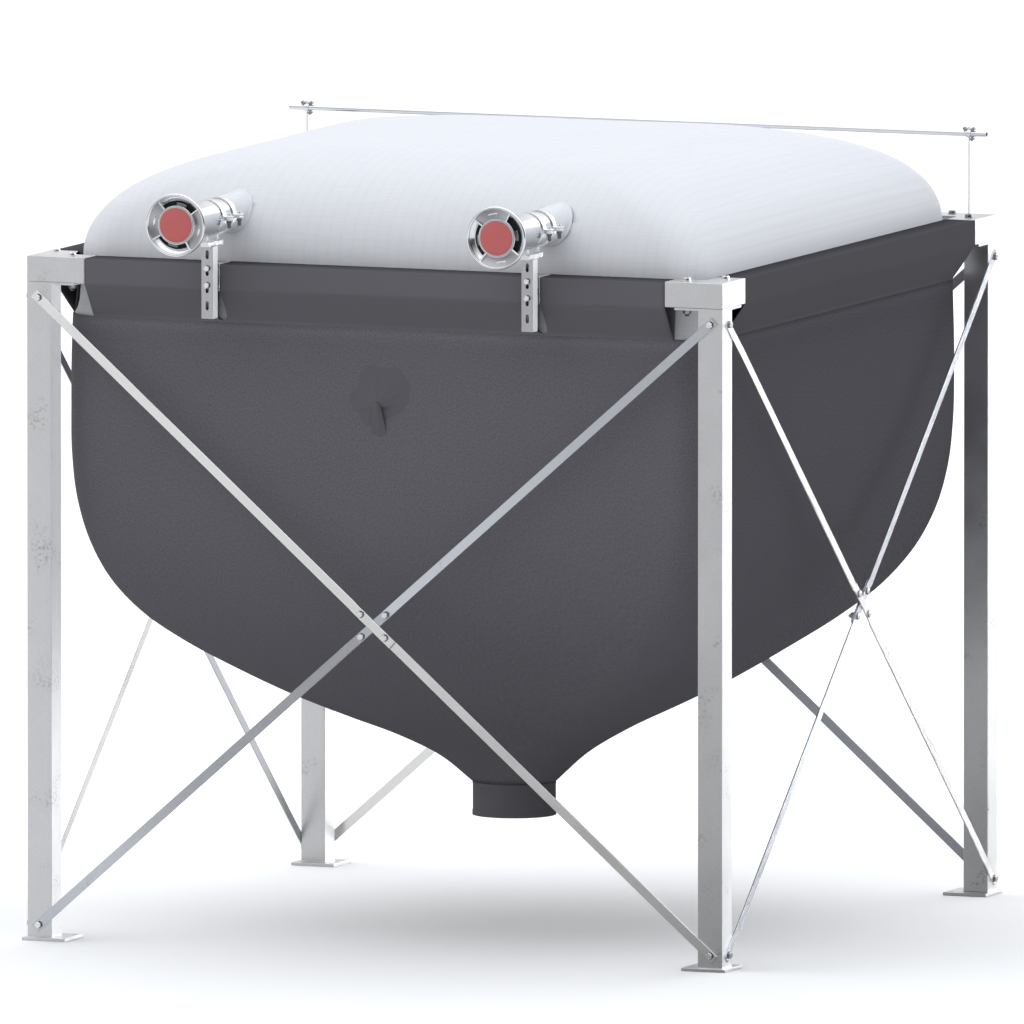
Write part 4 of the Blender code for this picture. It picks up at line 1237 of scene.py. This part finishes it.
def pipe_surface(x):
    """Wall of the pipe as one closed turned profile with eased ends."""
    length = PIPE_BACK - PIPE_FRONT
    outer, inner, ease = PIPE_RADIUS, PIPE_RADIUS - PIPE_WALL, 0.0005
    profile = [(outer - ease, 0), (outer, ease), (outer, length - ease), (outer - ease, length),
               (inner, length), (inner, 0)]
    return along_pipe(profile, x, PIPE_FRONT)


def sleeve_surface(x):
    """Cloth tube that starts under the band, ripples and spreads onto the dome."""
    angle = np.arange(96) * 2 * math.pi / 96
    reach = np.linspace(0, 1, 40)[:, None]
    flare = np.clip((reach - 0.90) / 0.10, 0, 1) ** 2 * 0.006
    ripple = 0.0004 * np.sin(3 * angle + 5 * reach) + 0.0003 * np.sin(7 * angle - 9 * reach)
    radius = SLEEVE_RADIUS - 0.0008 + flare + ripple * np.clip(reach * 6, 0, 1)
    px = x + radius * np.cos(angle)
    pz = PIPE_Z + radius * np.sin(angle)
    end = CENTRE_Y - dome_half(pz) - 0.0004
    y = SLEEVE_FRONT + (end - SLEEVE_FRONT) * reach
    return np.stack([px, y, pz], -1)[:, ::-1]


for name, x in PIPES:
    pipe = form_piece(f"pipe_tube_{name}", pipe_surface(x), STEEL)
    fitted(pipe, "stainless_steel", f"fill_pipe_{name}")
    sleeve = cloth_piece(f"pipe_cuff_{name}", sleeve_surface(x), WHITE_CLOTH, SLEEVE_CLOTH)
    fitted(sleeve, "white_fabric", f"pipe_sleeve_{name}")
    LIT_COVER.objects.link(sleeve)


# Couplings: cast and turned stainless flanges, 170 mm across, with a rolled rim. The
# dished front has four thin ribs, two open slots and two polished lugs round the cap.

COUPLING_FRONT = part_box("coupling_left")[0].y
RIM_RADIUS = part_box("coupling_left")[1].x + PIPE_X
SHANK_RADIUS = 0.0508
RING_RADIUS = 0.0525
GROOVE_RADIUS = 0.0645
# The front's parts as seen in the right coupling; the left one is turned on from it
COUPLING_TURN = {"left": math.radians(69), "right": 0.0}
CAMS = ((60.0, 143.0), (233.0, 326.0))
DIMPLE_RADIUS = 0.0650
DIMPLE_DEPTH = 0.0104
DIMPLE_SIZE = (0.0150, 0.0038, 1.0)
RIB_DEPTH = 0.0078
PAD_HALF_ANGLE = 14


def coupling_body(x):
    """Shank, cone, rolled rim, dish and the deep groove round the cap's seat."""
    length = PIPE_FRONT - 0.0003 - COUPLING_FRONT
    bore = PIPE_RADIUS - PIPE_WALL
    shank, rim, roll = SHANK_RADIUS, RIM_RADIUS, 0.0042
    t = np.linspace(-0.35 * math.pi, 1.15 * math.pi, 12)
    rolled = [(rim - roll + roll * math.cos(a), roll - roll * math.sin(a)) for a in t]
    outside = [(shank - 0.0008, length), (shank, length - 0.0008), (shank, 0.060),
               (shank + 0.003, 0.046), (0.0640, 0.032), (0.0740, 0.020), (rim - 0.0035, 0.0115)]
    dish = [(rim - 0.0110, 0.0075), (0.0695, 0.0125), (GROOVE_RADIUS + 0.0006, 0.0155),
            (GROOVE_RADIUS, 0.0162), (GROOVE_RADIUS, 0.0250), (RING_RADIUS, 0.0250),
            (RING_RADIUS, 0.0072), (RING_RADIUS - 0.0006, 0.0066), (bore + 0.0066, 0.0066),
            (bore + 0.0060, 0.0072), (bore + 0.0060, 0.0185), (bore, 0.0185), (bore, length)]
    return along_pipe((outside + rolled + dish)[::-1], x, COUPLING_FRONT, 128)


def arc_block(x, start, end, section, steps=36):
    """Flat-ended ring segment with a (radius, depth) section, between two angles."""
    angle = np.radians(np.linspace(start, end, steps))[:, None]
    radius, depth = np.array(section).T
    grid = np.stack([x + radius * np.cos(angle), COUPLING_FRONT + depth + 0 * angle,
                     PIPE_Z + radius * np.sin(angle)], -1)
    return grid.reshape(-1, 3), ring_faces(steps, len(section))


def dimple(x, angle):
    """Low pressed bump in a cam, longer round the ring than across it."""
    points, faces = turned_form([(0.0001, 0.0020), (0.4, 0.0018), (0.75, 0.0012),
                                 (1.0, -0.0006)])
    a = math.radians(angle)
    out = np.array([math.cos(a), 0, math.sin(a)])
    centre = (x, COUPLING_FRONT + DIMPLE_DEPTH, PIPE_Z) + DIMPLE_RADIUS * out
    return placed((points * DIMPLE_SIZE, [face[::-1] for face in faces]), centre, (0, -1, 0), out)


def coupling_forms(x, turn):
    """Two dished cams, and the ribs at their ends with a dimple in each cam, which are made bright
    by painted highlight.
    """
    shift = math.degrees(turn)
    cam = [(RING_RADIUS + 0.0001, 0.0150), (0.0580, 0.0138), (0.0650, 0.0110), (0.0720, 0.0078),
           (0.0775, 0.0048), (0.0790, 0.0080), (0.0690, 0.0160), (0.0600, 0.0210),
           (RING_RADIUS + 0.0001, 0.0210)]
    cams, ribs = [], []
    for start, end in CAMS:
        cams.append(arc_block(x, start + shift, end + shift, cam))
        for edge in (start, end):
            a = math.radians(edge + shift)
            out = np.array([math.cos(a), -0.12, math.sin(a)])
            foot = out * (1, 0, 1) * (RING_RADIUS - 0.0005)
            foot += (x, COUPLING_FRONT + RIB_DEPTH, PIPE_Z)
            rod = turned_form([(0.0018, 0.0), (0.0025, 0.0006), (0.0025, 0.0258),
                               (0.0018, 0.0264)], 16)
            ribs.append(placed(rod, foot, out, (0, 1, 0)))
        ribs.append(dimple(x, (start + end) / 2 + shift))
    return cams, ribs


def groove_pads(x, turn):
    """Locking pads in the middle of the two open parts of the groove, made dark by painted shade."""
    section = [(RING_RADIUS + 0.0001, 0.0150), (0.0600, 0.0150), (0.0600, 0.0240),
               (RING_RADIUS + 0.0001, 0.0240)]
    middle = math.degrees(turn) + (CAMS[0][1] + CAMS[1][0]) / 2
    return [arc_block(x, middle + side - PAD_HALF_ANGLE, middle + side + PAD_HALF_ANGLE,
                      section, 12) for side in (0, 180)]


def groove_lining(x):
    """Dark depth of the groove, where the real coupling is open to its inside."""
    section = [(RING_RADIUS + 0.0002, 0.0205), (GROOVE_RADIUS - 0.0002, 0.0175),
               (GROOVE_RADIUS - 0.0002, 0.0246), (RING_RADIUS + 0.0002, 0.0246)]
    return along_pipe(section[::-1], x, COUPLING_FRONT, 96)


# Painted shade and painted highlight: the same stainless made darker for the cams and pads and
# lighter for the ribs and dimples
CAM_PAINTED_SHADE_STEEL = stainless("cam_stainless_painted_shade", (0.50, 0.50, 0.52), 0.28, 0.42)
RIB_PAINTED_HIGHLIGHT_STEEL = stainless("rib_stainless_painted_highlight", (0.95, 0.95, 0.96), 0.14, 0.30)
PAD_PAINTED_SHADE_STEEL = stainless("pad_stainless_painted_shade", (0.22, 0.22, 0.23), 0.20, 0.36)
SLOT_SHADE, shade_shader = new_look("slot_shade", 0.8, 0.0)
shade_shader.inputs["Base Color"].default_value = (0.006, 0.006, 0.007, 1.0)
for name, x in PIPES:
    body = form_piece(f"hose_coupling_{name}", coupling_body(x), STEEL, 40)
    fitted(body, "stainless_steel", f"coupling_{name}")
    cams, ribs = coupling_forms(x, COUPLING_TURN[name])
    pads = groove_pads(x, COUPLING_TURN[name])
    for part, forms, look in (("cams", cams, CAM_PAINTED_SHADE_STEEL), ("ribs", ribs, RIB_PAINTED_HIGHLIGHT_STEEL),
                              ("groove", [groove_lining(x)], SLOT_SHADE),
                              ("pads", pads, PAD_PAINTED_SHADE_STEEL)):
        small_parts(f"coupling_{part}_{name}", forms, look, "stainless_steel", 40)


# Caps: blind caps in the couplings, with a flat red plastic face that is slightly
# crowned and eased at its edge.

CAP_RADIUS = 0.0462
CAP_RING = 0.0492
CAP_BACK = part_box("fill_cap_left")[1].y
CAP_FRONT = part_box("fill_cap_left")[0].y


def grained_plastic(name, colour, low, high):
    """Moulded plastic with a fine grain and a little fading."""
    look, _ = new_look(name, 0.5, 0.0)
    tree = look.node_tree
    place = node(tree, "TexCoord", {}).outputs["Object"]
    grain = noise(tree, place, scale=420.0, detail=3.0)
    fading = noise(tree, place, scale=30.0, detail=2.0)
    tone = scaled(tree, fading, 0.14, 0.93)
    return surfaced(look, colour, tone, grain, (low, high), grain, (0.12, 0.0003))


RED = grained_plastic("red_plastic", (0.60, 0.135, 0.135), 0.42, 0.62)
PALE_SEAL = grained_plastic("pale_seal", (0.62, 0.63, 0.62), 0.45, 0.60)
for name, x in PIPES:
    depth = CAP_BACK - CAP_FRONT
    profile = [(CAP_RADIUS * 0.25, -0.0004), (CAP_RADIUS * 0.7, -0.0002), (CAP_RADIUS - 0.0018, 0.0),
               (CAP_RADIUS - 0.0004, 0.0006), (CAP_RADIUS, 0.0020), (CAP_RADIUS, 0.0140),
               (0.0434, 0.0141), (0.0434, depth)]
    form = along_pipe(profile, x, CAP_FRONT + 0.0004, 96, closed=False)
    fitted(form_piece(f"cap_face_{name}", form, RED, 40), "red_plastic", f"fill_cap_{name}")
    seal = [(CAP_RADIUS + 0.0002, 0.0010), (CAP_RING - 0.0005, 0.0006), (CAP_RING, 0.0012),
            (CAP_RING, 0.0130), (CAP_RADIUS + 0.0002, 0.0130)]
    small_parts(f"cap_seal_{name}", [along_pipe(seal[::-1], x, CAP_FRONT)], PALE_SEAL,
                "red_plastic", 40)


# Pipe supports: slotted struts of folded galvanised strip, each held by two bolts to a
# hook plate over the front rim tube.

SUPPORT_EDGE = 0.0005
STRUT_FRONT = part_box("pipe_support_left")[0].y
STRUT_BOLTS = (1.785, 1.830)

STRUT_ZINC = galvanised("galvanised_strip", (0.54, 0.54, 0.545), 0.12, (0.18, 0.36))
# Painted light on the struts' right flanges
FLANGE_PAINTED_LIGHT_ZINC = galvanised("galvanised_flange_painted_light", (0.96, 0.96, 0.96), 0.05, (0.36, 0.50))


def paint_light_right(piece, look):
    """Painted light: give the faces that look to the right a brighter zinc."""
    piece.data.materials.append(look)
    for face in piece.data.polygons:
        face.material_index = int(face.normal.x > 0.9)
    return piece


support_bolts, support_sides = [], []
for name, x in PIPES:
    strut = softened(f"pipe_support_{name}", f"pipe_strut_{name}", STRUT_ZINC, SUPPORT_EDGE)
    lit(paint_light_right(strut, FLANGE_PAINTED_LIGHT_ZINC))
    for height in STRUT_BOLTS:
        cap, sides = capped_head((x, STRUT_FRONT, height), (0, -1, 0), 0.0145, 0.0085)
        support_bolts.append(cap)
        support_sides += sides
small_parts("strut_bolts", support_bolts, BRIGHT_ZINC_PAINTED_LIGHT)
small_parts("strut_bolt_sides", support_sides, PAINTED_SHADE_ZINC)


# Pipe clamps: a thick plate on each strut carries two threaded posts, and each post a
# two-part band round the pipe, closed by a bolt through ears at the side.

CLAMP_EDGE = 0.0006
CLAMP_BANDS = (CENTRE_Y - 1.041, CENTRE_Y - 0.970)
BAND_RADIUS = 0.0495
EAR_LENGTH = 0.023
EAR_HALF = 0.0095
EAR_TOP = 0.0062
EAR_LEVELS = ((0.0014, EAR_TOP), (-EAR_TOP, -0.0014))
CLAMP_BOLT = 0.012
CLAMP_HEAD = 0.010
CLAMP_NUT = 0.012
# Threaded stem: (radius, distance down) of its ridges
CLAMP_STEM = [(0.0050 * (1.0 - 0.06 * (row % 2)), row * 0.0025) for row in range(9)]


def eased_box(low, high, edge=0.0008):
    """Box with small chamfers all round its upright edges."""
    (x0, y0, z0), (x1, y1, z1) = low, high
    outline = [(x0 + edge, y0), (x1 - edge, y0), (x1, y0 + edge), (x1, y1 - edge),
               (x1 - edge, y1), (x0 + edge, y1), (x0, y1 - edge), (x0, y0 + edge)]
    levels = [(z0, edge), (z0 + edge, 0), (z1 - edge, 0), (z1, edge)]
    mx, my = (x0 + x1) / 2, (y0 + y1) / 2
    points = np.array([(px - math.copysign(inset, px - mx), py - math.copysign(inset, py - my), z)
                       for z, inset in levels for px, py in outline])
    return points, ring_faces(len(levels), len(outline))


DARK_ZINC = galvanised("dark_bolt_zinc", (0.16, 0.16, 0.17), rubs=0.05)
clamp_ears, clamp_bolts = [], []
for name, x in PIPES:
    lit(softened(f"pipe_clamp_{name}", f"pipe_band_{name}", BRIGHT_ZINC_PAINTED_LIGHT, CLAMP_EDGE),
        shades=False)
    for y in CLAMP_BANDS:
        ear_start, ear_end = x + BAND_RADIUS - 0.003, x + BAND_RADIUS + EAR_LENGTH
        for low, high in EAR_LEVELS:
            clamp_ears.append(eased_box((ear_start, y - EAR_HALF, PIPE_Z + low),
                                        (ear_end, y + EAR_HALF, PIPE_Z + high)))
        bolt = (x + BAND_RADIUS + CLAMP_BOLT, y)
        clamp_ears += bolt_head((*bolt, PIPE_Z + EAR_TOP), (0, 0, 1), CLAMP_HEAD, EAR_TOP)
        for form, under in ((turned_form(CLAMP_STEM), 0.0060),
                            (hex_head(CLAMP_NUT, 0.007), EAR_TOP)):
            clamp_bolts.append(placed(form, (*bolt, PIPE_Z - under), (0, 0, -1)))
small_parts("clamp_ears", clamp_ears, BRIGHT_ZINC_PAINTED_LIGHT)
small_parts("clamp_bolts", clamp_bolts, DARK_ZINC)


# Back bar: a thin stainless tube across the back on two slim rods, which are clipped
# round it and stand on bolts of the back brackets.

BAR_EDGE = 0.0006
BAR_LINE = (HALF - 0.116, (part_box("top_bar")[0].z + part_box("top_bar")[1].z) / 2)
LUG_PLACES = ((-0.011, 0.0125, -35.0), (0.012, 0.0125, 40.0), (0.010, -0.0135, 40.0))


def lug(x, across, above, lean):
    """Small square nut of a clip, standing out from the bar at a slant."""
    points, faces = eased_box((-0.0055, -0.006, -0.0042), (0.0055, 0.006, 0.0042))
    c, s = math.cos(math.radians(lean)), math.sin(math.radians(lean))
    points = points @ np.array([[c, 0, s], [0, 1, 0], [-s, 0, c]])
    return points + (x + across, CENTRE_Y + BAR_LINE[0], BAR_LINE[1] + above), faces


softened("top_bar", "back_bar", STEEL, BAR_EDGE, "stainless_steel")
for name in ("left", "right"):
    softened(f"bar_post_{name}", f"bar_rod_{name}", STEEL, 0.0004, "stainless_steel")
    low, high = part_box(f"bar_post_{name}")
    lugs = [lug((low.x + high.x) / 2, *place) for place in LUG_PLACES]
    small_parts(f"bar_lugs_{name}", lugs, PAINTED_SHADE_ZINC, "stainless_steel")
